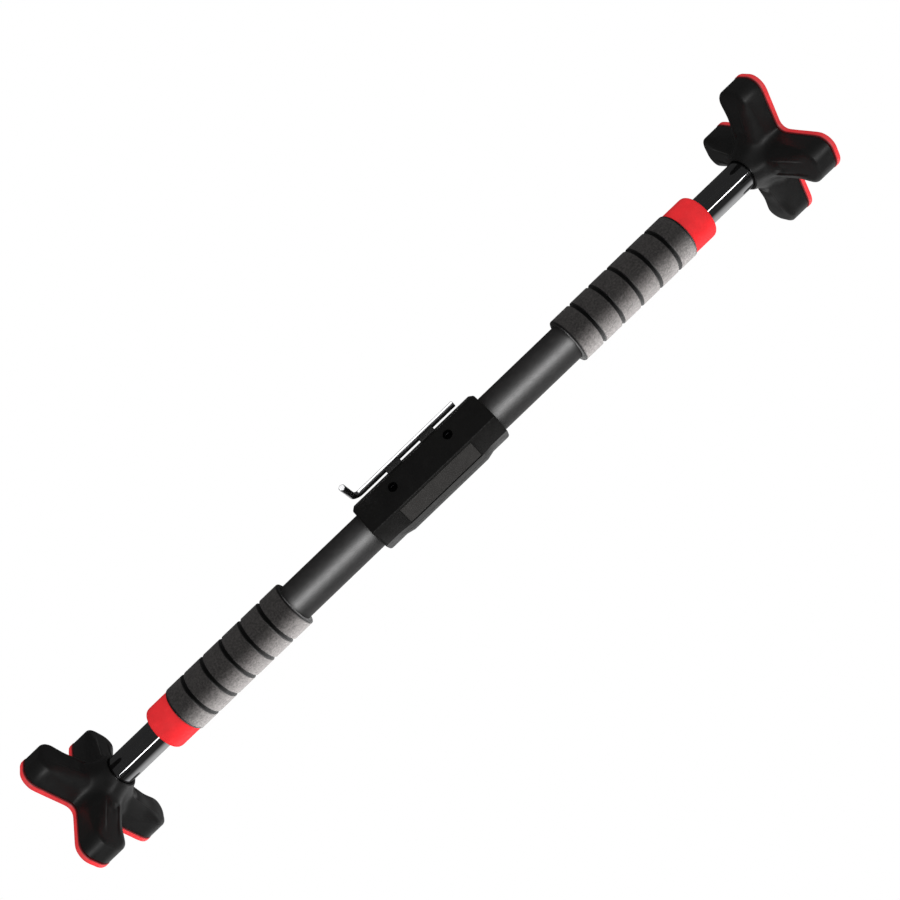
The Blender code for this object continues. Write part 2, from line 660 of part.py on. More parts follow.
def shell_height(radius, angle):
    """Height of the shell's outer face: a crest along each arm, rounded down to its sides, and the hub."""
    depth = pad_depth(radius * math.cos(angle), radius * math.sin(angle)) - SHELL_INSET
    along = (radius - CREST_INNER[0]) / (CREST_OUTER[0] - CREST_INNER[0])
    crest = CREST_INNER[1] + (CREST_OUTER[1] - CREST_INNER[1]) * along
    rise = min(max(depth / SHELL_ROUND, 0.0), 1.0)
    arm = SHELL_SIDE + (crest - SHELL_SIDE) * math.sqrt(1.0 - (1.0 - rise) ** 2)
    hub = SHELL_BACK - HUB_ENTRY - HUB_SLOPE * (radius - HUB_RADIUS)
    return smooth_max(arm, hub, HUB_BLEND)


def pad_angles():
    """Angles around the bar, closest together at the tips of the four arms."""
    angles = []
    for arm in range(4):
        for step in range(STEPS_PER_ARM):
            share = 2.0 * step / STEPS_PER_ARM - 1.0
            angles.append((arm + 0.5) * math.pi / 2.0 + math.pi / 4.0 * (0.4 * share + 0.6 * share ** 3))
    return angles


def mixed(start, end, share):
    return start + (end - start) * share


def shell_section(angle):
    """Closed section of the shell at one angle, as (station, radius), from the hub outwards and back."""
    side = outline_radius(angle, SHELL_INSET)
    wall = outline_radius(angle, SHELL_INSET + SHELL_WALL)
    radii = [mixed(HUB_RADIUS + HUB_CHAMFER, side, share) for share in SHELL_SHARES]
    section = [(HUB_ENTRY, INNER_RADIUS + GAP), (HUB_ENTRY, HUB_RADIUS - HUB_CHAMFER)]
    section += [(SHELL_BACK - shell_height(radius, angle), radius) for radius in radii]
    section += [(SHELL_BACK, side), (SHELL_BACK, wall)]
    ceiling = [mixed(wall, HUB_POST_RADIUS, share) for share in CEILING_SHARES]
    section += [(SHELL_BACK + SHELL_WALL - shell_height(radius, angle), radius) for radius in ceiling]
    section += [
        (SHELL_BACK, HUB_POST_RADIUS),
        (SHELL_BACK, WASHER_RADIUS + GAP),
        (BOLT_SEAT, WASHER_RADIUS + GAP),
        (BOLT_SEAT, BOLT_RADIUS + GAP),
        (INNER_END + GAP, BOLT_RADIUS + GAP),
        (INNER_END + GAP, INNER_RADIUS + GAP),
    ]
    return section


def build_pad_shell(name, frame):
    """Lofts the shell's sections around the bar. Unlike a turned shape, its radius follows the X outline."""
    bm = bmesh.new()
    rings = []
    for angle in pad_angles():
        rings.append([bm.verts.new((radius * math.cos(angle), radius * math.sin(angle), station))
                      for station, radius in shell_section(angle)])
    for ring, after in zip(rings, rings[1:] + rings[:1]):
        for index in range(len(ring)):
            bm.faces.new((ring[index - 1], ring[index], after[index], after[index - 1]))
    add_object(name, mesh_from(bm, name, True), frame, rotation=ALONG_BAR, finish="pad_plastic")


def build_pad_sole(name, frame):
    """The flat X-shaped rubber sole."""
    curve = bpy.data.curves.new(name, "CURVE")
    curve.dimensions = "2D"
    curve.fill_mode = "BOTH"
    curve.extrude = SOLE_THICKNESS / 2.0
    angles = pad_angles()
    outline = curve.splines.new("POLY")
    outline.points.add(len(angles) - 1)
    outline.use_cyclic_u = True
    for knot, angle in zip(outline.points, angles):
        radius = outline_radius(angle, 0.0)
        knot.co = (radius * math.cos(angle), radius * math.sin(angle), 0.0, 1.0)
    place = (SOLE_FACE - SOLE_THICKNESS / 2.0, 0.0, 0.0)
    add_object(name, curve, frame, place, ALONG_BAR, "red_rubber")


def build_pad(label, frame):
    """Plastic X-shaped pad shell with its hub, the rubber sole, and the bolt and washer that hold it."""
    build_pad_shell(f"{label}_pad_shell", frame)
    build_pad_sole(f"{label}_pad_sole", frame)

    washer_start = BOLT_SEAT + GAP
    washer_end = washer_start + WASHER_THICKNESS
    turned(f"{label}_pad_washer", sleeve(washer_start, washer_end, WASHER_RADIUS, BOLT_RADIUS + GAP), frame,
           "zinc_steel", sides=SMALL_SIDES)
    head_start = washer_end + GAP
    head_end = head_start + BOLT_HEAD_HEIGHT
    bolt = [
        (head_end, 0.0),
        (head_end, BOLT_HEAD_RADIUS),
        (head_start, BOLT_HEAD_RADIUS),
        (head_start, BOLT_RADIUS),
        (BOLT_TIP, BOLT_RADIUS),
        (BOLT_TIP, 0.0),
    ]
    turned(f"{label}_pad_bolt", bolt, frame, "zinc_steel", sides=SMALL_SIDES)


clear_scene()
parts = new_collection("pull_up_bar")
cutters = new_collection("cutters")
housing_frame = empty("housing_frame", (math.pi / 2.0 - SCREW_FACE_ANGLE, 0.0, 0.0))
arm_frames = {
    "left": empty("left_arm_frame", (0.0, 0.0, math.pi)),
    "right": empty("right_arm_frame", (0.0, 0.0, 0.0)),
}

casing_half("front_cover", True)
casing_half("rear_cover", False)
build_label()
build_core_block()
build_cover_screws()
build_hex_key()
for label, side in (("left", -1.0), ("right", 1.0)):
    build_lock(label, side)
    build_drive(label, arm_frames[label])
    build_arm(label, arm_frames[label])
    build_slider(label, arm_frames[label])
    build_pad(label, arm_frames[label])
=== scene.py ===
"""Looks of the doorway pull-up bar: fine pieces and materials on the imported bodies.

The bar lies along X with its centre at the origin. +Z is up and -Y faces the person who hangs on it.
Pieces of an arm are drawn for the right-hand arm, with stations as distances from the bar's centre,
and mirrored for the left one. Pieces of the housing are drawn in the housing's own frame, whose +Z
is the normal of the face with the lock screws and whose +Y runs up that face.
"""

import json
import math

import bmesh
import bpy
from mathutils import Matrix, Vector

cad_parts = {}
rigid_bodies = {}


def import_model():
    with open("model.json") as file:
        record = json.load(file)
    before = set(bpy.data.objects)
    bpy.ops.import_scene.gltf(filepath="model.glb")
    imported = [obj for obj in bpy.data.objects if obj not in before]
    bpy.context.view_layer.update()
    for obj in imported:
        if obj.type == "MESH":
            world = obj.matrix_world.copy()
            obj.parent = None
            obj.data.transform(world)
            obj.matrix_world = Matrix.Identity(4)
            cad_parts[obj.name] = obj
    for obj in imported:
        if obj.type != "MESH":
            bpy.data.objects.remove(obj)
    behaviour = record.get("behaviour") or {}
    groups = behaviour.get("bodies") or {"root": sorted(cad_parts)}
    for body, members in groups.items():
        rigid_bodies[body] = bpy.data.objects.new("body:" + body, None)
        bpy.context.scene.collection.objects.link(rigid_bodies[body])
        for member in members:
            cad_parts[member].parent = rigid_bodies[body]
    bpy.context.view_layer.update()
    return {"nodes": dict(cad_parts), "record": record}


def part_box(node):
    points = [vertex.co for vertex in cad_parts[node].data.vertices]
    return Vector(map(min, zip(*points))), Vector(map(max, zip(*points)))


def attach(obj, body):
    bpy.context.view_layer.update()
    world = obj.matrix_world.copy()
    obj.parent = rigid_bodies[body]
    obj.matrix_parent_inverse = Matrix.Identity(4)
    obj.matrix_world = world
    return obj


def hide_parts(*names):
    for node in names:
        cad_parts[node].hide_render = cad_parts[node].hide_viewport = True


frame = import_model()

MM = 0.001
GAP = 0.3 * MM
SIDES = 96
SMALL_SIDES = 48
ARMS = (("left", -1.0), ("right", 1.0))
JOINTS = {joint["name"]: joint for joint in frame["record"]["behaviour"]["joints"]}

# Sizes of the arms that a node's box doesn't give.
TUBE_WALL = 1.5 * MM
GROOVE_FIRST = 166.0 * MM
GROOVE_PITCH = 20.0 * MM
GROOVE_COUNT = 5
GROOVE_HALF_WIDTH = 1.8 * MM
GROOVE_FLOOR_SHARE = 0.8
GROOVE_DEPTH = 2.0 * MM
FOAM_EDGE = 1.2 * MM
COLLAR_EDGE = 3.5 * MM
COLLAR_LIP = 3.0 * MM
RUNNING_GAP = 0.35 * MM

# End pads. Shell heights are measured from the plane on which the shell meets its sole.
# A crest is given by (distance from the bar's axis, height) at each end of an arm.
ARM_REACH = 62.5 * MM
ARM_HALF_WIDTH = 15.1 * MM
ARM_CORNER = 12.0 * MM
NOTCH_BLEND = 9.0 * MM
SHELL_INSET = 0.5 * MM
TIP_WALL = 13.6 * MM
TIP_ROUND = 3.6 * MM
SIDE_WALL = 10.0 * MM
SIDE_ROUND = 11.5 * MM
TIP_START = 36.0 * MM
TIP_FULL = 57.0 * MM
SHELL_WALL = 3.0 * MM
CREST_INNER = (17.0 * MM, 22.4 * MM)
CREST_OUTER = (59.0 * MM, 15.6 * MM)
HUB_RADIUS = 15.2 * MM
HUB_SLOPE = 1.9
HUB_BLEND = 4.0 * MM
HUB_EDGE = 0.8 * MM
HUB_POST_RADIUS = 15.6 * MM
CHANNEL_START = 23.0 * MM
CHANNEL_END = 55.0 * MM
CHANNEL_HALF_WIDTH = 6.6 * MM
CHANNEL_DEPTH = 0.7 * MM
CHANNEL_EDGE = 1.2 * MM
CHANNEL_FADE = 16.0 * MM
CHANNEL_VEE = 0.55
POCKET_LENGTH = 9.0 * MM
POCKET_EXTRA = 0.8
PAD_STEPS_PER_ARM = 64
PAD_SMOOTH_ANGLE = 38.0
SHELL_RINGS = 40
SOLE_RINGS = 70
SOLE_CENTRE = 0.4 * MM
BOLT_RADIUS = 4.0 * MM
SOLE_INSET = 0.12 * MM
SOLE_EDGE = 1.1 * MM
TREAD_PITCH = 5.0 * MM
TREAD_DEPTH = 0.9 * MM
TREAD_MARGIN = 3.0 * MM
TREAD_EDGE = 0.8 * MM

# Central housing. Heights are measured from the bar's axis along the screw face's normal.
# Field sections are (angle in degrees from that normal, distance from the axis in mm).
HOUSING_HALF = 63.5 * MM
HOUSING_INRADIUS = 22.0 * MM
HOUSING_WALL = 2.2 * MM
HOUSING_END_WALL = 2.5 * MM
HOUSING_END_CHAMFER = 1.2 * MM
HOUSING_EDGE = 0.8 * MM
BELLY_ANGLE = math.radians(-100.0)
BELLY_DISTANCE = 19.9 * MM
HOUSING_BORE = 16.5 * MM
FIELD_SECTION = ((-30.5, 25.2), (-71.5, 23.9), (-104.7, 23.5), (-100.0, 18.5), (-31.0, 18.5))
FIELD_FOOT_SECTION = ((-30.5, 24.9), (-71.5, 21.4), (-104.7, 19.6), (-100.0, 18.5), (-31.0, 18.5))
FIELD_HALF = 38.7 * MM
FIELD_FOOT_HALF = 55.0 * MM
FIELD_EDGE = 0.7 * MM
COVER_EDGE = 0.25 * MM
COVER_EDGE_ANGLE = 40.0
LABEL_HALF = 36.5 * MM
LABEL_HALF_WIDTH = 7.2 * MM
LABEL_THICKNESS = 0.7 * MM
LABEL_RECESS = 0.8 * MM
LABEL_LEDGE = 0.5 * MM
LABEL_SEAT = 0.53
LABEL_EDGE = 0.2 * MM
BOSS_STATION = 14.0 * MM
BOSS_OFFSET = 14.0 * MM
BOSS_RADIUS = 3.2 * MM
BOSS_TOP = 12.6 * MM
COVER_SCREW_RADIUS = 1.5 * MM
COVER_SCREW_HEAD_RADIUS = 2.8 * MM
COVER_SCREW_HEAD = 2.2 * MM
COVER_SCREW_SOCKET = 2.5 * MM
COVER_SCREW_SOCKET_DEPTH = 1.3 * MM
COVER_SCREW_SEAT = -13.0 * MM
COVER_SCREW_TIP = 8.5 * MM
LOCK_OFFSET = 3.5 * MM
LOCK_STATION = 28.5 * MM
LOCK_ACCESS_RADIUS = 4.0 * MM
LOCK_ACCESS_START = 10.0 * MM
LOCK_ACCESS_END = 40.0 * MM
LOCK_HEAD_RADIUS = 5.0 * MM
LOCK_HEAD_TOP = 17.6 * MM
LOCK_HEAD_HEIGHT = 5.6 * MM
LOCK_SHANK_RADIUS = 2.9 * MM
LOCK_TIP = 8.5 * MM
LOCK_SOCKET_DEPTH = 3.2 * MM
SCREW_CENTRE = 0.05 * MM

# Cutters reach past whatever they cut.
BORE_REACH = 100.0 * MM
SCREW_HOLE_END = -50.0 * MM
CUT_SIZE = 300.0 * MM
BELLY_CUT = 20.0 * MM
MERGE_DISTANCE = 0.001 * MM

# Hex key and its clips.
KEY_FLATS = 5.0 * MM
KEY_TIP = 48.7 * MM
KEY_BEND_CENTRE = -49.0 * MM
KEY_BEND_RADIUS = 6.5 * MM
KEY_ARM_REACH = 27.0 * MM
KEY_HEIGHT = 27.0 * MM
KEY_SIDE = -4.0 * MM
KEY_FACE_TURN = math.radians(60.0)
KEY_CORNER = 0.45 * MM
CLIP_STATION = 17.4 * MM
CLIP_LENGTH = 14.2 * MM
CLIP_TOP = 27.8 * MM
CLIP_ROOT = 20.5 * MM
CLIP_HALF_WIDTH = 5.2 * MM
CLIP_EDGE = 0.6 * MM
SLOT_HALF_WIDTH = 3.2 * MM
SLOT_MOUTH = 20.0 * MM
KEY_CHAMFER = 0.5 * MM
KEY_END_SHARE = 0.82
KEY_BEND_STEPS = 16

# Camera, given by where it looks from and how the picture is rolled about its view axis.
CAMERA_BELOW = math.radians(10.8)
CAMERA_ROLL = math.radians(43.79)
CAMERA_DISTANCE = 0.670
CAMERA_RISE = 0.0021
CAMERA_LENS = 34.67
CAMERA_SHIFT = (0.0228, 0.0227)

# Floor, and what a softbox lights, as (diffuse, glossy).
FLOOR_HALF = 2.8
FLOOR_DROP = 1.95
DIFFUSE_ONLY = (True, False)
GLOSSY_ONLY = (False, True)


# ---- Mesh helpers ----

def finished(bm, name, smooth_angle=30.0):
    """A new object from a bmesh, shaded smooth except at edges sharper than smooth_angle in degrees."""
    bmesh.ops.recalc_face_normals(bm, faces=bm.faces)
    mesh = bpy.data.meshes.new(name)
    bm.to_mesh(mesh)
    bm.free()
    mesh.shade_smooth()
    mesh.set_sharp_from_angle(angle=math.radians(smooth_angle))
    piece = bpy.data.objects.new(name, mesh)
    bpy.context.scene.collection.objects.link(piece)
    return piece


def loft(name, rings, closed=True, capped=False, smooth_angle=30.0):
    """Joins rings of equal length with quads. Closed joins the last ring to the first."""
    bm = bmesh.new()
    rows = [[bm.verts.new(point) for point in ring] for ring in rings]
    pairs = list(zip(rows, rows[1:]))
    if closed:
        pairs.append((rows[-1], rows[0]))
    for row, after in pairs:
        for index in range(len(row)):
            bm.faces.new((row[index - 1], row[index], after[index], after[index - 1]))
    if capped:
        bm.faces.new(rows[0])
        bm.faces.new(rows[-1])
    return finished(bm, name, smooth_angle)


def softened(outline, steps=5):
    """Rounds the corners of a closed outline of (station, radius, rounding) points."""
    points = []
    count = len(outline)
    for index, (station, radius, rounding) in enumerate(outline):
        corner = Vector((station, radius))
        if rounding == 0.0:
            points.append(corner)
            continue
        before = Vector(outline[index - 1][:2]) - corner
        after = Vector(outline[(index + 1) % count][:2]) - corner
        start = corner + before.normalized() * min(rounding, before.length * 0.49)
        end = corner + after.normalized() * min(rounding, after.length * 0.49)
        for step in range(steps + 1):
            share = step / steps
            points.append(start.lerp(corner, share).lerp(corner.lerp(end, share), share))
    return points


def turned(name, outline, side, sides=SIDES):
    """Turns a closed outline of (station, radius, rounding) points about the bar's axis."""
    points = softened(outline)
    rings = []
    for step in range(sides):
        angle = step / sides * math.tau
        rings.append([(side * station, radius * math.cos(angle), radius * math.sin(angle))
                      for station, radius in points])
    return loft(name, rings)


def span(node):
    """Start station, end station and outer radius of a turned node of the right-hand arm."""
    low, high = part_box(f"right_{node}")
    return low.x, high.x, high.y


def join_body(piece, body, slot, *nodes):
    """Puts a piece on its body with its slot's material, in place of CAD nodes."""
    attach(piece, body)
    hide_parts(*nodes)
    piece.data.materials.clear()
    piece.data.materials.append(MATERIALS[slot])


FOAM_START, FOAM_END, FOAM_RADIUS = span("foam_grip")
SHELL_SPAN = span("pad_shell")
SOLE_SEAM = span("pad_sole")[0]


# ---- Materials ----

class Shader:
    """A material under construction: a Principled shader and the nodes that feed it."""

    def __init__(self, name):
        self.material = bpy.data.materials.new(name)
        self.material.use_nodes = True
        self.tree = self.material.node_tree
        self.principled = self.tree.nodes["Principled BSDF"]
        coordinates = self.tree.nodes.new("ShaderNodeTexCoord")
        self.place = coordinates.outputs["Object"]
        self.bumps = []

    def link(self, start, end):
        self.tree.links.new(start, end)

    def set(self, **values):
        for name, value in values.items():
            self.principled.inputs[name.replace("_", " ")].default_value = value

    def stretched(self, scale):
        mapping = self.tree.nodes.new("ShaderNodeMapping")
        mapping.inputs["Scale"].default_value = scale
        self.link(self.place, mapping.inputs["Vector"])
        return mapping.outputs["Vector"]

    def noise(self, scale, detail=3.0, roughness=0.55, stretch=None):
        node = self.tree.nodes.new("ShaderNodeTexNoise")
        node.inputs["Scale"].default_value = scale
        node.inputs["Detail"].default_value = detail
        node.inputs["Roughness"].default_value = roughness
        self.link(self.stretched(stretch) if stretch else self.place, node.inputs["Vector"])
        return node.outputs["Fac"]

    def cells(self, scale):
        node = self.tree.nodes.new("ShaderNodeTexVoronoi")
        node.inputs["Scale"].default_value = scale
        self.link(self.place, node.inputs["Vector"])
        return node.outputs["Distance"]

    def from_axis(self):
        """Distance from the bar's axis."""
        across = self.tree.nodes.new("ShaderNodeVectorMath")
        across.operation = "MULTIPLY"
        across.inputs[1].default_value = (0.0, 1.0, 1.0)
        self.link(self.place, across.inputs[0])
        length = self.tree.nodes.new("ShaderNodeVectorMath")
        length.operation = "LENGTH"
        self.link(across.outputs["Vector"], length.inputs[0])
        return length.outputs["Value"]

    def along_bar(self):
        """Distance from the bar's centre, measured along the bar."""
        split = self.tree.nodes.new("ShaderNodeSeparateXYZ")
        self.link(self.place, split.inputs["Vector"])
        size = self.tree.nodes.new("ShaderNodeMath")
        size.operation = "ABSOLUTE"
        self.link(split.outputs["X"], size.inputs[0])
        return size.outputs["Value"]

    def ranged(self, value, low, high, start=0.3, end=0.7):
        """Goes from low to high as the value goes from start to end."""
        node = self.tree.nodes.new("ShaderNodeMapRange")
        node.inputs["From Min"].default_value = start
        node.inputs["From Max"].default_value = end
        node.inputs["To Min"].default_value = low
        node.inputs["To Max"].default_value = high
        self.link(value, node.inputs["Value"])
        return node.outputs["Result"]

    def mixed(self, share, first, second):
        node = self.tree.nodes.new("ShaderNodeMix")
        node.data_type = "RGBA"
        self.link(share, node.inputs["Factor"])
        for socket, colour in ((node.inputs["A"], first), (node.inputs["B"], second)):
            if isinstance(colour, tuple):
                socket.default_value = (*colour, 1.0)
            else:
                self.link(colour, socket)
        return node.outputs["Result"]

    def colour(self, value):
        self.link(value, self.principled.inputs["Base Color"])

    def roughness(self, value):
        self.link(value, self.principled.inputs["Roughness"])

    def bump(self, height, strength, depth):
        """Adds a bump. done() chains all of them into the normal."""
        self.bumps.append((height, strength, depth))

    def done(self):
        normal = None
        for height, strength, depth in self.bumps:
            node = self.tree.nodes.new("ShaderNodeBump")
            node.inputs["Strength"].default_value = strength
            node.inputs["Distance"].default_value = depth
            self.link(height, node.inputs["Height"])
            if normal is not None:
                self.link(normal, node.inputs["Normal"])
            normal = node.outputs["Normal"]
        if normal is not None:
            self.link(normal, self.principled.inputs["Normal"])
        return self.material


def worn(shader, base, worn_colour, patch_scale, amount=0.35):
    """Base colour with cloudy variation and sparse paler rubbed patches."""
    cloud = shader.ranged(shader.noise(patch_scale, 4.0), 0.0, 1.0)
    darker = tuple(channel * 0.72 for channel in base)
    body = shader.mixed(cloud, darker, base)
    rub = shader.ranged(shader.noise(patch_scale * 3.7, 6.0, 0.7), 0.0, amount, 0.56, 0.78)
    shader.colour(shader.mixed(rub, body, worn_colour))


def black_plastic():
    shader = Shader("housing_plastic")
    shader.set(Specular_IOR_Level=0.3)
    worn(shader, (0.0048, 0.0045, 0.0042), (0.011, 0.0104, 0.0098), 38.0)
    shader.roughness(shader.ranged(shader.noise(160.0, 4.0), 0.36, 0.46))
    shader.bump(shader.cells(1500.0), 0.55, 0.16 * MM)
    shader.bump(shader.noise(620.0, 4.0), 0.5, 0.2 * MM)
    return shader.done()


def pad_plastic():
    shader = Shader("pad_plastic")
    shader.set(Specular_IOR_Level=0.5)
    worn(shader, (0.004, 0.0039, 0.0038), (0.011, 0.011, 0.011), 45.0, 0.3)
    shader.roughness(shader.ranged(shader.noise(140.0, 5.0), 0.4, 0.52))
    shader.bump(shader.noise(900.0, 4.0, 0.7), 0.25, 0.08 * MM)
    shader.bump(shader.noise(55.0, 3.0), 0.3, 0.35 * MM)
    return shader.done()


def tube_paint():
    shader = Shader("tube_powder_coat")
    shader.set(Specular_IOR_Level=0.3)
    worn(shader, (0.0088, 0.0078, 0.0077), (0.019, 0.017, 0.0168), 30.0, 0.25)
    shader.roughness(shader.ranged(shader.noise(220.0, 4.0), 0.5, 0.56))
    shader.bump(shader.noise(900.0, 3.0, 0.6), 0.4, 0.12 * MM)
    return shader.done()


def inner_tube_paint():
    shader = Shader("inner_tube_gloss")
    shader.set(Metallic=1.0)
    streak = shader.noise(900.0, 4.0, 0.6, stretch=(0.05, 1.0, 1.0))
    shader.colour(shader.mixed(shader.ranged(streak, 0.0, 1.0), (0.3, 0.3, 0.305), (0.38, 0.38, 0.385)))
    shader.roughness(shader.ranged(shader.noise(120.0, 4.0), 0.035, 0.06))
    shader.bump(shader.noise(700.0, 2.0), 0.04, 0.01 * MM)
    return shader.done()


def foam():
    """Fine-celled foam with painted shade: nearly black in its cut grooves, in its bore and at both cut
    ends.
    """
    shader = Shader("foam_skin")
    shader.set(Sheen_Weight=0.06, Sheen_Roughness=0.5, Specular_IOR_Level=0.1)
    cloud = shader.ranged(shader.noise(60.0, 4.0), 0.0, 1.0)
    speckle = shader.ranged(shader.noise(650.0, 3.0, 0.7), 0.0, 1.0, 0.36, 0.66)
    skin = shader.mixed(speckle, shader.mixed(cloud, (0.0142, 0.0132, 0.0129), (0.0194, 0.018, 0.0176)),
                        (0.0365, 0.0338, 0.0328))
    along = shader.along_bar()
    outside_groove_shade = shader.ranged(shader.from_axis(), 0.0, 1.0, FOAM_RADIUS - 0.4 * MM, FOAM_RADIUS - 0.1 * MM)
    past_start = shader.ranged(along, 0.0, 1.0, FOAM_START + 0.8 * MM, FOAM_START + 1.8 * MM)
    before_end = shader.ranged(along, 1.0, 0.0, FOAM_END - 2.0 * MM, FOAM_END - 1.0 * MM)
    colour = skin
    # Painted shade: the grooves, the bore, the end faces and the skin's last millimetre or so at each end
    # go nearly black.
    for share in (outside_groove_shade, past_start, before_end):
        colour = shader.mixed(share, (0.0009, 0.0009, 0.0009), colour)
    shader.colour(colour)
    shader.roughness(shader.ranged(shader.noise(300.0, 5.0), 0.7, 0.9))
    shader.bump(shader.cells(1250.0), 0.5, 0.2 * MM)
    shader.bump(shader.noise(130.0, 5.0), 0.4, 0.3 * MM)
    return shader.done()


def red_plastic():
    shader = Shader("collar_plastic")
    shader.set(Specular_IOR_Level=0.2)
    worn(shader, (0.84, 0.017, 0.023), (0.88, 0.06, 0.06), 55.0, 0.3)
    shader.roughness(shader.ranged(shader.noise(170.0, 4.0), 0.6, 0.74))
    shader.bump(shader.cells(1300.0), 0.22, 0.08 * MM)
    return shader.done()


def red_rubber():
    """Rubber with painted shade: darker along its seam with the shell."""
    shader = Shader("sole_rubber")
    cloud = shader.ranged(shader.noise(48.0, 4.0), 0.0, 1.0)
    body = shader.mixed(cloud, (0.6, 0.012, 0.018), (0.78, 0.02, 0.026))
    dust = shader.ranged(shader.noise(180.0, 6.0, 0.7), 0.0, 0.3, 0.56, 0.78)
    # Painted shadow: the sole goes dark red within about a millimetre of its seam with the shell.
    seam = shader.ranged(shader.along_bar(), 0.0, 1.0, SOLE_SEAM + 0.5 * MM, SOLE_SEAM + 1.3 * MM)
    shader.colour(shader.mixed(seam, (0.1, 0.002, 0.004), shader.mixed(dust, body, (0.75, 0.12, 0.12))))
    shader.roughness(shader.ranged(shader.noise(150.0, 5.0), 0.42, 0.6))
    shader.bump(shader.noise(1000.0, 4.0, 0.7), 0.4, 0.12 * MM)
    return shader.done()


def label():
    shader = Shader("label_film")
    shader.set(Coat_Weight=0.15, Coat_Roughness=0.35)
    worn(shader, (0.022, 0.0202, 0.0188), (0.036, 0.0335, 0.0315), 42.0, 0.3)
    shader.roughness(shader.ranged(shader.noise(190.0, 4.0), 0.4, 0.54))
    shader.bump(shader.noise(700.0, 4.0), 0.5, 0.2 * MM)
    return shader.done()


def metal(name, base, rub, low, high, stretch=None, grain=900.0, depth=0.03 * MM):
    """Bare or plated metal whose roughness runs from low to high in streaks of a grain."""
    shader = Shader(name)
    shader.set(Metallic=1.0)
    worn(shader, base, rub, 90.0, 0.6)
    streak = shader.noise(grain, 5.0, 0.65, stretch)
    shader.roughness(shader.ranged(streak, low, high))
    shader.bump(streak, 0.35, depth)
    return shader.done()


def nylon():
    shader = Shader("bush_nylon")
    shader.set(Subsurface_Weight=0.08)
    worn(shader, (0.72, 0.7, 0.64), (0.6, 0.57, 0.5), 70.0, 0.5)
    shader.roughness(shader.ranged(shader.noise(200.0, 4.0), 0.38, 0.55))
    shader.bump(shader.noise(800.0, 4.0), 0.2, 0.06 * MM)
    return shader.done()


# Stretches grain along the bar.
ALONG = (0.06, 1.0, 1.0)
MATERIALS = {
    "black_plastic": black_plastic(),
    "pad_plastic": pad_plastic(),
    "tube_paint": tube_paint(),
    "inner_tube_paint": inner_tube_paint(),
    "foam": foam(),
    "red_plastic": red_plastic(),
    "red_rubber": red_rubber(),
    "label": label(),
    "zinc_steel": metal("zinc_plate", (0.62, 0.62, 0.63), (0.78, 0.78, 0.78), 0.12, 0.2, ALONG),
    "machined_steel": metal("machined_steel", (0.42, 0.42, 0.43), (0.6, 0.6, 0.6), 0.24, 0.42,
                            ALONG, 1400.0),
    "cast_alloy": metal("cast_alloy", (0.45, 0.45, 0.46), (0.62, 0.62, 0.62), 0.45, 0.62,
                        None, 500.0, 0.12 * MM),
    "bronze": metal("bronze", (0.5, 0.32, 0.14), (0.68, 0.48, 0.24), 0.26, 0.44, ALONG, 1100.0),
    "nylon": nylon(),
}
# Painted shade: near-black screw metal stands for the shade down the screws' holes, in place of their
# slots' zinc and machined steel.
SHADED_SCREW_METAL = metal("screw_metal_painted_dark", (0.02, 0.02, 0.021), (0.06, 0.06, 0.06), 0.3, 0.45, None, 600.0)


# ---- Arms ----

def tube(name, node, side, outer_edge):
    """A tube as long and as wide as its node, with rounded ends."""
    start, end, radius = span(node)
    bore = radius - TUBE_WALL
    inner_edge = outer_edge - 0.1 * MM
    outline = [(end, bore, inner_edge), (end, radius, outer_edge),
               (start, radius, outer_edge), (start, bore, inner_edge)]
    return turned(name, outline, side)


def outer_tube(arm, side):
    piece = tube(f"{arm}_grip_tube", "outer_tube", side, 0.4 * MM)
    join_body(piece, f"{arm}_tube", "tube_paint", f"{arm}_outer_tube")


def inner_tube(arm, side):
    piece = tube(f"{arm}_sliding_tube", "inner_tube", side, 0.3 * MM)
    join_body(piece, f"{arm}_end", "inner_tube_paint", f"{arm}_inner_tube")


def foam_grip(arm, side):
    """Foam sleeve with cut grooves, rounded at both ends."""
    bore = span("outer_tube")[2] + GAP / 2.0
    groove_floor = FOAM_RADIUS - GROOVE_DEPTH
    floor_half_width = GROOVE_FLOOR_SHARE * GROOVE_HALF_WIDTH
    outline = [(FOAM_END, bore, 0.0), (FOAM_END, FOAM_RADIUS, FOAM_EDGE)]
    for groove in reversed(range(GROOVE_COUNT)):
        middle = GROOVE_FIRST + groove * GROOVE_PITCH
        outline += [
            (middle + GROOVE_HALF_WIDTH, FOAM_RADIUS, 0.2 * MM),
            (middle + floor_half_width, groove_floor, 0.3 * MM),
            (middle - floor_half_width, groove_floor, 0.3 * MM),
            (middle - GROOVE_HALF_WIDTH, FOAM_RADIUS, 0.2 * MM),
        ]
    outline += [(FOAM_START, FOAM_RADIUS, FOAM_EDGE), (FOAM_START, bore, 0.0)]
    piece = turned(f"{arm}_foam_sleeve", outline, side)
    join_body(piece, f"{arm}_tube", "foam", f"{arm}_foam_grip")


def end_collar(arm, side):
    """Cap over the tube's mouth, with a lip that guides the inner tube."""
    start, end, radius = span("end_collar")
    bore = span("outer_tube")[2] + GAP / 2.0
    lip = span("inner_tube")[2] + RUNNING_GAP
    outline = [
        (end, lip, 0.5 * MM),
        (end, radius, COLLAR_EDGE),
        (start, radius, 0.7 * MM),
        (start, bore, 0.3 * MM),
        (end - COLLAR_LIP, bore, 0.0),
        (end - COLLAR_LIP, lip, 0.3 * MM),
    ]
    piece = turned(f"{arm}_red_collar", outline, side)
    join_body(piece, f"{arm}_tube", "red_plastic", f"{arm}_end_collar")


# ---- End pads ----

def mixed(start, end, share):
    return start + (end - start) * share


def smooth_max(first, second, blend):
    """The larger of two values, with the change-over between them rounded."""
    mix = max(blend - abs(first - second), 0.0) / blend
    return max(first, second) + mix * mix * blend / 4.0


def eased(value, start, end):
    """Goes smoothly from 0 to 1 as the value goes from start to end."""
    share = min(max((value - start) / (end - start), 0.0), 1.0)
    return share * share * (3.0 - 2.0 * share)


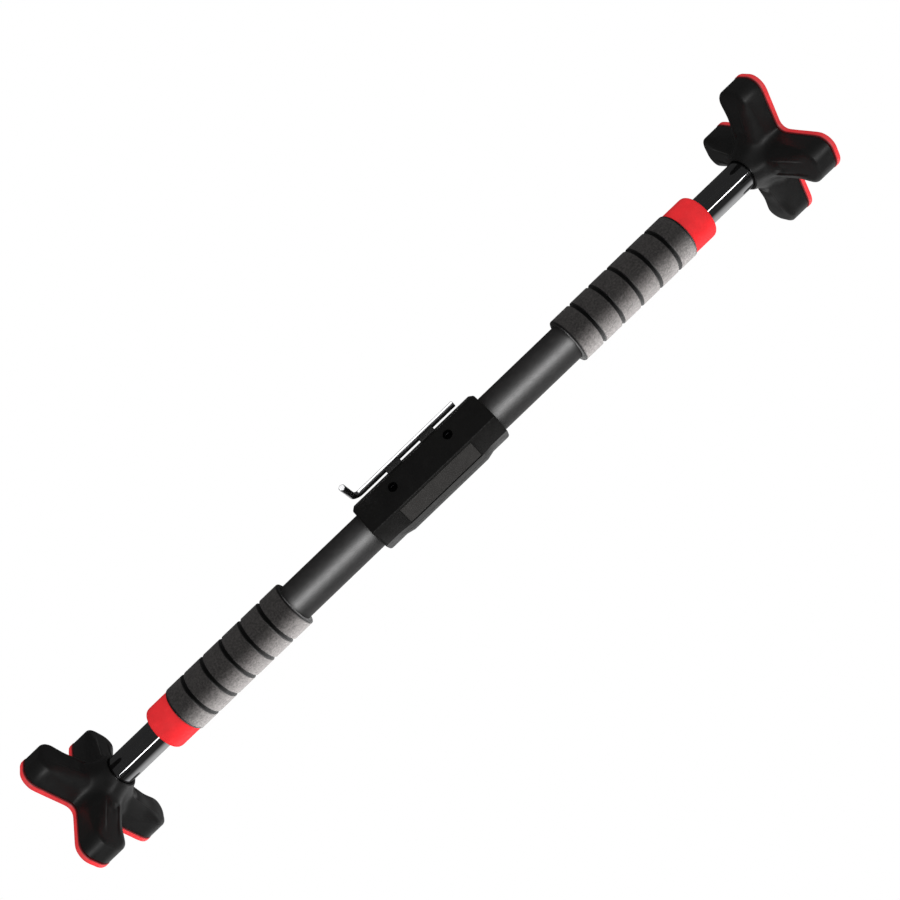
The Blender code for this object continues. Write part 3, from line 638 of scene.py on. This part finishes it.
def pad_depth(across, up):
    """How far a point lies inside the X outline of the pad, with the notches between its arms rounded."""
    depths = []
    for turn in (math.pi / 4.0, -math.pi / 4.0):
        along = abs(across * math.cos(turn) + up * math.sin(turn)) - (ARM_REACH - ARM_CORNER)
        aside = abs(up * math.cos(turn) - across * math.sin(turn)) - (ARM_HALF_WIDTH - ARM_CORNER)
        outside = math.hypot(max(along, 0.0), max(aside, 0.0))
        depths.append(ARM_CORNER - outside - min(max(along, aside), 0.0))
    return smooth_max(*depths, NOTCH_BLEND)


def outline_radius(angle, inset):
    """Radius at which the pad's outline, moved inwards by inset, crosses a ray from the bar's axis."""
    low, high = 0.0, 2.0 * ARM_REACH
    while high - low > 0.001 * MM:
        middle = (low + high) / 2.0
        if pad_depth(middle * math.cos(angle), middle * math.sin(angle)) > inset:
            low = middle
        else:
            high = middle
    return low


def in_arm(radius, angle):
    """Distance of a point along the nearest arm of the pad, and aside from that arm's middle."""
    turn = angle % (math.pi / 2.0) - math.pi / 4.0
    return radius * math.cos(turn), abs(radius * math.sin(turn))


def ring_point(side, station, radius, angle):
    return side * station, radius * math.cos(angle), radius * math.sin(angle)


def pad_angles():
    """Angles around the bar, closest together at the tips of the four arms."""
    angles = []
    for arm in range(4):
        for step in range(PAD_STEPS_PER_ARM):
            share = 2.0 * step / PAD_STEPS_PER_ARM - 1.0
            angles.append((arm + 0.5) * math.pi / 2.0 + math.pi / 4.0 * (0.5 * share + 0.5 * share ** 3))
    return angles


def channel_depth(radius, angle):
    """Depth of the shallow channel along each arm, deepest at its V-shaped hub end."""
    along, aside = in_arm(radius, angle)
    start = CHANNEL_START + CHANNEL_VEE * (CHANNEL_HALF_WIDTH - aside)
    inside = eased(along, start, start + CHANNEL_EDGE)
    inside *= 1.0 - eased(along, CHANNEL_END - CHANNEL_FADE, CHANNEL_END)
    inside *= 1.0 - eased(aside, CHANNEL_HALF_WIDTH - CHANNEL_EDGE, CHANNEL_HALF_WIDTH)
    pocket = 1.0 - eased(along, start, start + POCKET_LENGTH)
    return CHANNEL_DEPTH * inside * (1.0 + POCKET_EXTRA * pocket)


def shell_height(radius, angle, detailed=True):
    """Height of the shell's outer face: a crest along each arm, rounded down to its sides, and the hub.

    The face has its channels only when it is detailed.
    """
    depth = pad_depth(radius * math.cos(angle), radius * math.sin(angle)) - SHELL_INSET
    share = (radius - CREST_INNER[0]) / (CREST_OUTER[0] - CREST_INNER[0])
    crest = mixed(CREST_INNER[1], CREST_OUTER[1], share)
    hub = SHELL_SPAN[1] - SHELL_SPAN[0] - HUB_SLOPE * (radius - HUB_RADIUS)
    top = smooth_max(crest, hub, HUB_BLEND)
    tip = eased(in_arm(radius, angle)[0], TIP_START, TIP_FULL)
    wall = mixed(SIDE_WALL, TIP_WALL, tip)
    rise = min(max(depth / mixed(SIDE_ROUND, TIP_ROUND, tip), 0.0), 1.0)
    height = wall + (top - wall) * math.sqrt(1.0 - (1.0 - rise) ** 2)
    if detailed:
        height -= channel_depth(radius, angle)
    return height


def pad_shell(arm, side):
    """The X-shaped shell: its outer face, its hollow underside, and the hub with its bolt seat."""
    entry, back, _ = SHELL_SPAN
    socket = span("inner_tube")[2] + GAP
    seat = span("pad_washer")[0] - GAP
    tube_end = span("inner_tube")[1] + GAP
    washer = span("pad_washer")[2] + GAP
    bolt = BOLT_RADIUS + GAP
    top = HUB_RADIUS + HUB_EDGE
    sections = []
    for angle in pad_angles():
        side_radius = outline_radius(angle, SHELL_INSET)
        wall = outline_radius(angle, SHELL_INSET + SHELL_WALL)
        section = [(entry + 0.4 * MM, socket), (entry, socket + 0.4 * MM), (entry, HUB_RADIUS - 0.5 * MM)]
        for step in range(SHELL_RINGS + 1):
            share = step / SHELL_RINGS
            radius = mixed(top, side_radius, 1.0 - (1.0 - share) ** 1.5)
            section.append((back - shell_height(radius, angle), radius))
        section += [(back - 0.5 * MM, side_radius), (back, side_radius - 0.5 * MM), (back, wall)]
        for share in (0.0, 0.1, 0.5, 0.9, 1.0):
            radius = mixed(wall, HUB_POST_RADIUS, share)
            section.append((back + SHELL_WALL - shell_height(radius, angle, False), radius))
        section += [
            (back, HUB_POST_RADIUS),
            (back, washer),
            (seat, washer),
            (seat, bolt),
            (tube_end, bolt),
            (tube_end, socket),
        ]
        sections.append([ring_point(side, station, radius, angle) for station, radius in section])
    piece = loft(f"{arm}_pad_body", sections, smooth_angle=PAD_SMOOTH_ANGLE)
    join_body(piece, f"{arm}_end", "pad_plastic", f"{arm}_pad_shell")


def tread(radius, angle):
    """Depth of the ring grooves moulded into the face of the sole, away from its rim."""
    inset = pad_depth(radius * math.cos(angle), radius * math.sin(angle))
    wave = math.cos(radius / TREAD_PITCH * math.tau)
    return TREAD_DEPTH * eased(wave, 0.2, 0.75) * eased(inset, TREAD_MARGIN, TREAD_MARGIN + TREAD_EDGE)


def pad_sole(arm, side):
    """Rubber sole with rounded edges and ring grooves across its face."""
    start, end, _ = span("pad_sole")
    corner = 0.3 * SOLE_EDGE
    sections = []
    for angle in pad_angles():
        rim = outline_radius(angle, SOLE_INSET)
        section = [
            (start, SOLE_CENTRE),
            (start, rim - SOLE_EDGE),
            (start + corner, rim - corner),
            (start + SOLE_EDGE, rim),
            (end - SOLE_EDGE, rim),
            (end - corner, rim - corner),
            (end, rim - SOLE_EDGE),
        ]
        for step in range(1, SOLE_RINGS + 1):
            radius = mixed(rim - SOLE_EDGE, SOLE_CENTRE, step / SOLE_RINGS)
            section.append((end - tread(radius, angle), radius))
        sections.append([ring_point(side, station, radius, angle) for station, radius in section])
    piece = loft(f"{arm}_sole_body", sections, smooth_angle=PAD_SMOOTH_ANGLE)
    join_body(piece, f"{arm}_end", "red_rubber", f"{arm}_pad_sole")


# ---- Housing ----

SCREW_AXIS = Vector(JOINTS["left_lock_travel"]["axis"])
HOUSING = Matrix.Rotation(math.atan2(-SCREW_AXIS.y, SCREW_AXIS.z), 4, "X")
CUTTERS = []


def hull(name, points, edge=0.0, segments=4):
    """The convex hull of some points, with its edges rounded."""
    bm = bmesh.new()
    for point in points:
        bm.verts.new(point)
    result = bmesh.ops.convex_hull(bm, input=bm.verts)
    loose = {item for item in result["geom_interior"] + result["geom_unused"]
             if isinstance(item, bmesh.types.BMVert)}
    bmesh.ops.delete(bm, geom=list(loose), context="VERTS")
    bmesh.ops.dissolve_limit(bm, angle_limit=math.radians(0.5), verts=bm.verts, edges=bm.edges)
    piece = finished(bm, name)
    if edge > 0.0:
        bevel(piece, edge, segments)
    return piece


def bevel(piece, width, segments, angle=30.0):
    modifier = piece.modifiers.new("Rounded_edges", "BEVEL")
    modifier.width = width
    modifier.segments = segments
    modifier.limit_method = "ANGLE"
    modifier.angle_limit = math.radians(angle)
    modifier.use_clamp_overlap = True


def block(name, size, centre=(0.0, 0.0, 0.0), turn=0.0, edge=0.0):
    """A box in the housing's frame, turned about the bar's axis."""
    half = Vector(size) / 2.0
    place = Matrix.Translation(centre) @ Matrix.Rotation(turn, 4, "X")
    corners = [place @ Vector((x * half.x, y * half.y, z * half.z))
               for x in (-1.0, 1.0) for y in (-1.0, 1.0) for z in (-1.0, 1.0)]
    return hull(name, corners, edge)


def circle(radius, centre, sides):
    turns = [step / sides * math.tau for step in range(sides)]
    return [(centre[0] + radius * math.cos(turn), centre[1] + radius * math.sin(turn)) for turn in turns]


def post(name, radius, start, end, centre):
    """A cylinder along the screw face's normal, standing at centre in the housing's frame."""
    rings = [[(x, y, height) for x, y in circle(radius, centre, SMALL_SIDES)] for height in (start, end)]
    return loft(name, rings, closed=False, capped=True)


def bar_post(name, radius, start, end, centre=(0.0, 0.0), sides=SIDES):
    """A cylinder along the bar, at an offset and height in the housing's frame."""
    rings = [[(station, y, z) for y, z in circle(radius, centre, sides)] for station in (start, end)]
    return loft(name, rings, closed=False, capped=True)


def combine(piece, tool, operation="DIFFERENCE"):
    """Adds a boolean with a tool. applied() carries it out and then removes the tool."""
    modifier = piece.modifiers.new(tool.name, "BOOLEAN")
    modifier.operation = operation
    modifier.solver = "EXACT"
    modifier.object = tool
    CUTTERS.append(tool)


def applied(piece, name, smooth_angle=30.0):
    """The piece with its modifiers applied, as a new object in the bar's frame, without its cutters."""
    depsgraph = bpy.context.evaluated_depsgraph_get()
    bm = bmesh.new()
    bm.from_mesh(piece.evaluated_get(depsgraph).to_mesh())
    bmesh.ops.remove_doubles(bm, verts=bm.verts, dist=MERGE_DISTANCE)
    bmesh.ops.dissolve_degenerate(bm, edges=bm.edges, dist=MERGE_DISTANCE)
    bm.transform(HOUSING)
    bpy.data.objects.remove(piece)
    while CUTTERS:
        bpy.data.objects.remove(CUTTERS.pop())
    return finished(bm, name, smooth_angle)


def hexagon_loop(inradius, station):
    radius = inradius / math.cos(math.pi / 6.0)
    corners = [math.pi / 6.0 + corner * math.pi / 3.0 for corner in range(6)]
    return [(station, radius * math.sin(angle), radius * math.cos(angle)) for angle in corners]


def polar_loop(section, station):
    """Section points given as angle in degrees from the screw face's normal and radius in mm."""
    places = [(radius * MM, math.radians(degrees)) for degrees, radius in section]
    return [(station, radius * math.sin(angle), radius * math.cos(angle)) for radius, angle in places]


def casing_prism(name, inset, half_length, chamfer=0.0, edge=0.0):
    """The housing's hexagonal body with its cut-off belly, or the smaller cavity inside it."""
    loops = []
    for side in (-1.0, 1.0):
        loops += hexagon_loop(HOUSING_INRADIUS - inset, side * (half_length - chamfer))
        loops += hexagon_loop(HOUSING_INRADIUS - inset - chamfer, side * half_length)
    prism = hull(name, loops, edge)
    reach = BELLY_DISTANCE - inset + BELLY_CUT / 2.0
    place = (0.0, reach * math.sin(BELLY_ANGLE), reach * math.cos(BELLY_ANGLE))
    combine(prism, block(f"{name}_belly", (CUT_SIZE, CUT_SIZE, BELLY_CUT), place, -BELLY_ANGLE))
    return prism


def on_key_face(height, side):
    """Offset and height in the housing's frame of a place on the face that carries the key."""
    offset = height * math.sin(KEY_FACE_TURN) + side * math.cos(KEY_FACE_TURN)
    rise = height * math.cos(KEY_FACE_TURN) - side * math.sin(KEY_FACE_TURN)
    return offset, rise


def label_place(depth):
    """Middle of the label at a depth below the field's face, and the face's turn about the bar."""
    upper, lower = (Vector(point) for point in polar_loop(FIELD_SECTION[:2], 0.0))
    along = lower - upper
    angle = math.atan2(-along.z, -along.y)
    normal = Vector((0.0, -math.sin(angle), math.cos(angle)))
    return upper.lerp(lower, LABEL_SEAT) - normal * depth, angle


def boss_places():
    return [(x * BOSS_STATION, y * BOSS_OFFSET) for x in (-1.0, 1.0) for y in (-1.0, 1.0)]


def casing_half(name, front):
    """Front or rear cover: the outer body, its label field and clips, hollowed, bored and split."""
    casing = casing_prism(name, 0.0, HOUSING_HALF, HOUSING_END_CHAMFER, HOUSING_EDGE)
    loops = []
    for side in (-1.0, 1.0):
        loops += polar_loop(FIELD_SECTION, side * FIELD_HALF)
        loops += polar_loop(FIELD_FOOT_SECTION, side * FIELD_FOOT_HALF)
    combine(casing, hull(f"{name}_field", loops, FIELD_EDGE, 3), "UNION")
    if front:
        for side in (-1.0, 1.0):
            offset, rise = on_key_face((CLIP_TOP + CLIP_ROOT) / 2.0, KEY_SIDE)
            size = (CLIP_LENGTH, 2.0 * CLIP_HALF_WIDTH, CLIP_TOP - CLIP_ROOT)
            place = (side * CLIP_STATION, offset, rise)
            clip = block(f"{name}_clip_{side:.0f}", size, place, -KEY_FACE_TURN, CLIP_EDGE)
            combine(casing, clip, "UNION")
    combine(casing, casing_prism(f"{name}_cavity", HOUSING_WALL, HOUSING_HALF - HOUSING_END_WALL))
    combine(casing, bar_post(f"{name}_bore", HOUSING_BORE, -BORE_REACH, BORE_REACH))
    away = -1.0 if front else 1.0
    other_half = (0.0, 0.0, away * (CUT_SIZE - GAP) / 2.0)
    combine(casing, block(f"{name}_half", (CUT_SIZE, CUT_SIZE, CUT_SIZE), other_half))
    if front:
        front_details(casing)
    else:
        rear_details(casing)
    piece = applied(casing, name)
    bevel(piece, COVER_EDGE, 2, COVER_EDGE_ANGLE)
    return piece


def front_details(casing):
    """Bosses with pilot holes, the key's slot, the lock screws' access holes and the label's recess."""
    for index, place in enumerate(boss_places(), 1):
        combine(casing, post(f"front_boss_{index}", BOSS_RADIUS, GAP / 2.0, BOSS_TOP, place), "UNION")
    for index, place in enumerate(boss_places(), 1):
        pilot = post(f"front_pilot_{index}", COVER_SCREW_RADIUS + GAP, -GAP, COVER_SCREW_TIP + GAP, place)
        combine(casing, pilot)
    offset, rise = on_key_face(KEY_HEIGHT, KEY_SIDE)
    slot = bar_post("key_slot", SLOT_HALF_WIDTH, -HOUSING_HALF, HOUSING_HALF, (offset, rise), SMALL_SIDES)
    offset, rise = on_key_face(KEY_HEIGHT + SLOT_MOUTH / 2.0, KEY_SIDE)
    size = (2.0 * HOUSING_HALF, 2.0 * SLOT_HALF_WIDTH, SLOT_MOUTH)
    combine(slot, block("key_slot_mouth", size, (0.0, offset, rise), -KEY_FACE_TURN), "UNION")
    combine(casing, slot)
    for side in (-1.0, 1.0):
        combine(casing, post(f"access_{side:.0f}", LOCK_ACCESS_RADIUS, LOCK_ACCESS_START, LOCK_ACCESS_END,
                             (side * LOCK_STATION, LOCK_OFFSET)))
    place, angle = label_place(0.0)
    place += LABEL_LEDGE / 2.0 * Vector((0.0, -math.cos(angle), -math.sin(angle)))
    width = 2.0 * (LABEL_HALF_WIDTH + GAP) + LABEL_LEDGE
    size = (2.0 * (LABEL_HALF + GAP), width, 2.0 * (LABEL_RECESS + GAP))
    combine(casing, block("label_recess", size, place, angle))


def rear_details(casing):
    """Screw bosses, and the holes and counterbores of the cover screws."""
    for index, place in enumerate(boss_places(), 1):
        combine(casing, post(f"rear_boss_{index}", BOSS_RADIUS, -BOSS_TOP, -GAP / 2.0, place), "UNION")
    for index, place in enumerate(boss_places(), 1):
        combine(casing, post(f"rear_hole_{index}", COVER_SCREW_RADIUS + GAP, SCREW_HOLE_END, GAP, place))
        combine(casing, post(f"rear_counterbore_{index}", COVER_SCREW_HEAD_RADIUS + GAP, SCREW_HOLE_END,
                             COVER_SCREW_SEAT, place))


def label_plate():
    place, angle = label_place(LABEL_RECESS - LABEL_THICKNESS / 2.0)
    size = (2.0 * LABEL_HALF, 2.0 * LABEL_HALF_WIDTH, LABEL_THICKNESS)
    piece = applied(block("label_blank", size, place, angle), "label_cover")
    bevel(piece, LABEL_EDGE, 3)
    join_body(piece, "housing", "label", "label_plate")


def hex_corners(flats, corner):
    """A hexagon across flats with rounded corners, as (x, y) points starting on a corner."""
    tips = [Vector(point) for point in circle(flats / math.sqrt(3.0), (0.0, 0.0), 6)]
    points = []
    for index, tip in enumerate(tips):
        start = tip + (tips[index - 1] - tip).normalized() * corner
        end = tip + (tips[(index + 1) % 6] - tip).normalized() * corner
        points += [start, start * 0.25 + tip * 0.5 + end * 0.25, end]
    return points


def hex_key():
    """Hexagonal rod bent to an L, with its ends chamfered."""
    profile = hex_corners(KEY_FLATS, KEY_CORNER)
    stations = [
        (Vector((KEY_TIP, 0.0, 0.0)), 0.0, KEY_END_SHARE),
        (Vector((KEY_TIP - KEY_CHAMFER, 0.0, 0.0)), 0.0, 1.0),
    ]
    for step in range(KEY_BEND_STEPS + 1):
        angle = step / KEY_BEND_STEPS * math.pi / 2.0
        point = Vector((KEY_BEND_CENTRE - KEY_BEND_RADIUS * math.sin(angle), 0.0,
                        KEY_BEND_RADIUS * (1.0 - math.cos(angle))))
        stations.append((point, angle, 1.0))
    end = KEY_BEND_CENTRE - KEY_BEND_RADIUS
    stations.append((Vector((end, 0.0, KEY_ARM_REACH - KEY_CHAMFER)), math.pi / 2.0, 1.0))
    stations.append((Vector((end, 0.0, KEY_ARM_REACH)), math.pi / 2.0, KEY_END_SHARE))
    offset, rise = on_key_face(KEY_HEIGHT, KEY_SIDE)
    place = HOUSING @ Matrix.Translation((0.0, offset, rise))
    rings = []
    for point, angle, scale in stations:
        turn = Matrix.Rotation(angle, 4, "Y")
        rings.append([place @ (point + turn @ Vector((0.0, scale * corner.x, scale * corner.y)))
                      for corner in profile])
    piece = loft("stored_hex_key", rings, closed=False, capped=True, smooth_angle=25.0)
    join_body(piece, "hex_key", "zinc_steel", "hex_key")


def hex_radius(flats, angle):
    """Radius of a hexagon across flats in the direction of an angle."""
    turn = angle % (math.pi / 3.0) - math.pi / 6.0
    return flats / 2.0 / math.cos(turn)


def socket_screw(name, place, heights, radii, socket, body, slot, node):
    """A cap screw along the screw face's normal, with a knurled head and a hexagonal socket.

    It has the heights of its tip, seat and head, the radii of its head and shank, and the flats and
    depth of its socket.
    """
    tip, seat, head_top = heights
    head_radius, shank_radius = radii
    flats, socket_depth = socket
    outward = 1.0 if head_top > seat else -1.0
    rings = []
    for step in range(SIDES):
        angle = step / SIDES * math.tau
        knurl = head_radius - 0.04 * head_radius * (step % 4 in (0, 1))
        hexagon = hex_radius(flats, angle)
        section = [
            (SCREW_CENTRE, head_top - outward * (socket_depth + 0.3 * MM)),
            (hexagon * 0.9, head_top - outward * socket_depth),
            (hexagon, head_top - outward * socket_depth * 0.95),
            (hexagon, head_top - outward * 0.2 * MM),
            (hexagon + 0.25 * MM, head_top),
            (head_radius * 0.86, head_top),
            (head_radius * 0.93, head_top - outward * 0.3 * MM),
            (knurl, head_top - outward * 0.7 * MM),
            (knurl, seat + outward * 0.3 * MM),
            (head_radius * 0.94, seat),
            (shank_radius, seat),
            (shank_radius, tip + outward * 0.5 * MM),
            (shank_radius * 0.8, tip),
            (SCREW_CENTRE, tip),
        ]
        x, y = math.cos(angle), math.sin(angle)
        rings.append([HOUSING @ Vector((place[0] + radius * x, place[1] + radius * y, height))
                      for radius, height in section])
    piece = loft(name, rings)
    join_body(piece, body, slot, node)
    # Painted shade: the screw is drawn near black for the shade down its hole.
    piece.data.materials[0] = SHADED_SCREW_METAL


def housing():
    join_body(casing_half("front_casing", True), "housing", "black_plastic", "front_cover")
    join_body(casing_half("rear_casing", False), "housing", "black_plastic", "rear_cover")
    label_plate()
    hex_key()
    cover_seat = COVER_SCREW_SEAT - GAP
    for index, place in enumerate(boss_places(), 1):
        socket_screw(f"casing_screw_{index}", place,
                     (COVER_SCREW_TIP, cover_seat, cover_seat - COVER_SCREW_HEAD),
                     (COVER_SCREW_HEAD_RADIUS, COVER_SCREW_RADIUS),
                     (COVER_SCREW_SOCKET, COVER_SCREW_SOCKET_DEPTH),
                     "housing", "machined_steel", f"cover_screw_{index}")
    for arm, side in ARMS:
        socket_screw(f"{arm}_locking_screw", (side * LOCK_STATION, LOCK_OFFSET),
                     (LOCK_TIP, LOCK_HEAD_TOP - LOCK_HEAD_HEIGHT, LOCK_HEAD_TOP),
                     (LOCK_HEAD_RADIUS, LOCK_SHANK_RADIUS),
                     (KEY_FLATS + GAP, LOCK_SOCKET_DEPTH),
                     f"{arm}_lock_screw", "zinc_steel", f"{arm}_lock_screw")


def paint_packed_nodes():
    """Gives every CAD node its slot's material. Only those that no piece replaces are shown."""
    slots = {part["node"]: part["material_slot"] for part in frame["record"]["subparts"]}
    for name, node in frame["nodes"].items():
        node.data.materials.clear()
        node.data.materials.append(MATERIALS[slots[name]])


housing()
for arm_name, arm_side in ARMS:
    for make in (outer_tube, inner_tube, foam_grip, end_collar, pad_shell, pad_sole):
        make(arm_name, arm_side)
paint_packed_nodes()


# ---- Stage, light and camera ----

def floor():
    """A pale floor at standing depth under the hung bar."""
    bm = bmesh.new()
    bmesh.ops.create_grid(bm, x_segments=24, y_segments=24, size=FLOOR_HALF)
    bmesh.ops.translate(bm, vec=(0.0, 0.0, -FLOOR_DROP), verts=bm.verts)
    piece = finished(bm, "pale_floor")
    shader = Shader("floor_paint")
    shader.set(Roughness=0.85)
    cloud = shader.ranged(shader.noise(3.0, 4.0), 0.0, 1.0)
    shader.colour(shader.mixed(cloud, (0.88, 0.88, 0.88), (0.92, 0.92, 0.92)))
    shader.bump(shader.noise(220.0, 3.0), 0.1, 1.0 * MM)
    piece.data.materials.append(shader.done())
    piece.visible_glossy = False


def view_axes():
    """Right, up and backward directions of the camera, and the bar's upward direction in its picture."""
    backward = Vector((0.0, -math.cos(CAMERA_BELOW), -math.sin(CAMERA_BELOW)))
    rise = Vector((0.0, -math.sin(CAMERA_BELOW), math.cos(CAMERA_BELOW)))
    along = Vector((1.0, 0.0, 0.0))
    right = along * math.cos(CAMERA_ROLL) - rise * math.sin(CAMERA_ROLL)
    up = along * math.sin(CAMERA_ROLL) + rise * math.cos(CAMERA_ROLL)
    return right, up, backward, rise


def camera():
    right, up, backward, rise = view_axes()
    data = bpy.data.cameras.new("camera")
    data.lens = CAMERA_LENS
    data.shift_x, data.shift_y = CAMERA_SHIFT
    data.clip_start = 0.01
    piece = bpy.data.objects.new("camera", data)
    place = Matrix((right, up, backward)).transposed().to_4x4()
    place.translation = backward * CAMERA_DISTANCE + rise * CAMERA_RISE
    piece.matrix_world = place
    bpy.context.scene.collection.objects.link(piece)
    bpy.context.scene.camera = piece


def softbox(name, direction, distance, size, power, lights_up, only_on=()):
    """An area light on the bar, seen from it in a direction. Its long side runs along the bar.

    lights_up says if it shows in diffuse and in glossy light, and only_on limits it to some slots.
    """
    data = bpy.data.lights.new(name, "AREA")
    data.shape = "RECTANGLE"
    data.size, data.size_y = size
    data.energy = power
    piece = bpy.data.objects.new(name, data)
    backward = direction.normalized()
    along = Vector((1.0, 0.0, 0.0))
    place = Matrix((along, backward.cross(along), backward)).transposed().to_4x4()
    place.translation = backward * distance
    piece.matrix_world = place
    piece.visible_camera = False
    piece.visible_diffuse, piece.visible_glossy = lights_up
    if only_on:
        lit = bpy.data.collections.new(f"{name}_receivers")
        for other in bpy.context.scene.objects:
            if other.type == "MESH" and other.data.materials[0] in [MATERIALS[slot] for slot in only_on]:
                lit.objects.link(other)
        piece.light_linking.receiver_collection = lit
    bpy.context.scene.collection.objects.link(piece)


def lights():
    _, _, backward, rise = view_axes()

    def seen_at(degrees):
        """Direction turned about the bar, from the camera's side downwards."""
        angle = math.radians(degrees)
        return backward * math.cos(angle) - rise * math.sin(angle)

    softbox("edge_strip", seen_at(21.0), 1.6, (3.0, 0.14), 14.0, GLOSSY_ONLY)
    softbox("low_fill", seen_at(102.0), 1.5, (3.2, 1.2), 70.0, DIFFUSE_ONLY)
    softbox("tube_strip", seen_at(13.0), 1.6, (3.0, 0.36), 200.0, GLOSSY_ONLY, ("tube_paint",))
    softbox("foam_fill", seen_at(98.0), 1.5, (3.2, 0.8), 620.0, DIFFUSE_ONLY, ("foam",))
    softbox("steel_top", seen_at(-62.0), 1.8, (2.6, 0.7), 16.0, GLOSSY_ONLY, ("zinc_steel",))


def background(tree, strength):
    node = tree.nodes.new("ShaderNodeBackground")
    node.inputs["Color"].default_value = (1.0, 1.0, 1.0, 1.0)
    node.inputs["Strength"].default_value = strength
    return node


def mix_shader(tree, share, first, second):
    node = tree.nodes.new("ShaderNodeMixShader")
    tree.links.new(share, node.inputs[0])
    tree.links.new(first.outputs[0], node.inputs[1])
    tree.links.new(second.outputs[0], node.inputs[2])
    return node


def surroundings():
    """A white studio. Glossy rays find it bright below and beyond the bar and dim elsewhere.

    Diffuse rays find it brightest on the camera's side, and the camera itself sees plain white.
    """
    world = bpy.data.worlds.new("studio")
    world.use_nodes = True
    tree = world.node_tree
    tree.nodes.clear()
    output = tree.nodes.new("ShaderNodeOutputWorld")
    path = tree.nodes.new("ShaderNodeLightPath")
    coordinates = tree.nodes.new("ShaderNodeTexCoord")
    _, _, backward, rise = view_axes()

    def facing(direction, start, end, low, high):
        """Strength that rises from low to high as rays turn toward a direction."""
        toward = tree.nodes.new("ShaderNodeVectorMath")
        toward.operation = "DOT_PRODUCT"
        toward.inputs[1].default_value = direction.normalized()
        tree.links.new(coordinates.outputs["Generated"], toward.inputs[0])
        ramp = tree.nodes.new("ShaderNodeMapRange")
        ramp.interpolation_type = "SMOOTHSTEP"
        ramp.inputs["From Min"].default_value = start
        ramp.inputs["From Max"].default_value = end
        ramp.inputs["To Min"].default_value = low
        ramp.inputs["To Max"].default_value = high
        tree.links.new(toward.outputs["Value"], ramp.inputs["Value"])
        node = background(tree, 1.0)
        tree.links.new(ramp.outputs["Result"], node.inputs["Strength"])
        return node

    glossy = facing(-rise * 0.82 - backward * 0.57, 0.5, 0.95, 0.05, 0.95)
    diffuse = facing(backward, -0.4, 0.6, 0.45, 1.2)
    seen = background(tree, 1.0)
    lit = mix_shader(tree, path.outputs["Is Glossy Ray"], diffuse, glossy)
    shown = mix_shader(tree, path.outputs["Is Camera Ray"], lit, seen)
    tree.links.new(shown.outputs[0], output.inputs["Surface"])
    bpy.context.scene.world = world


floor()
camera()
lights()
surroundings()
bpy.context.scene.view_settings.view_transform = "Standard"
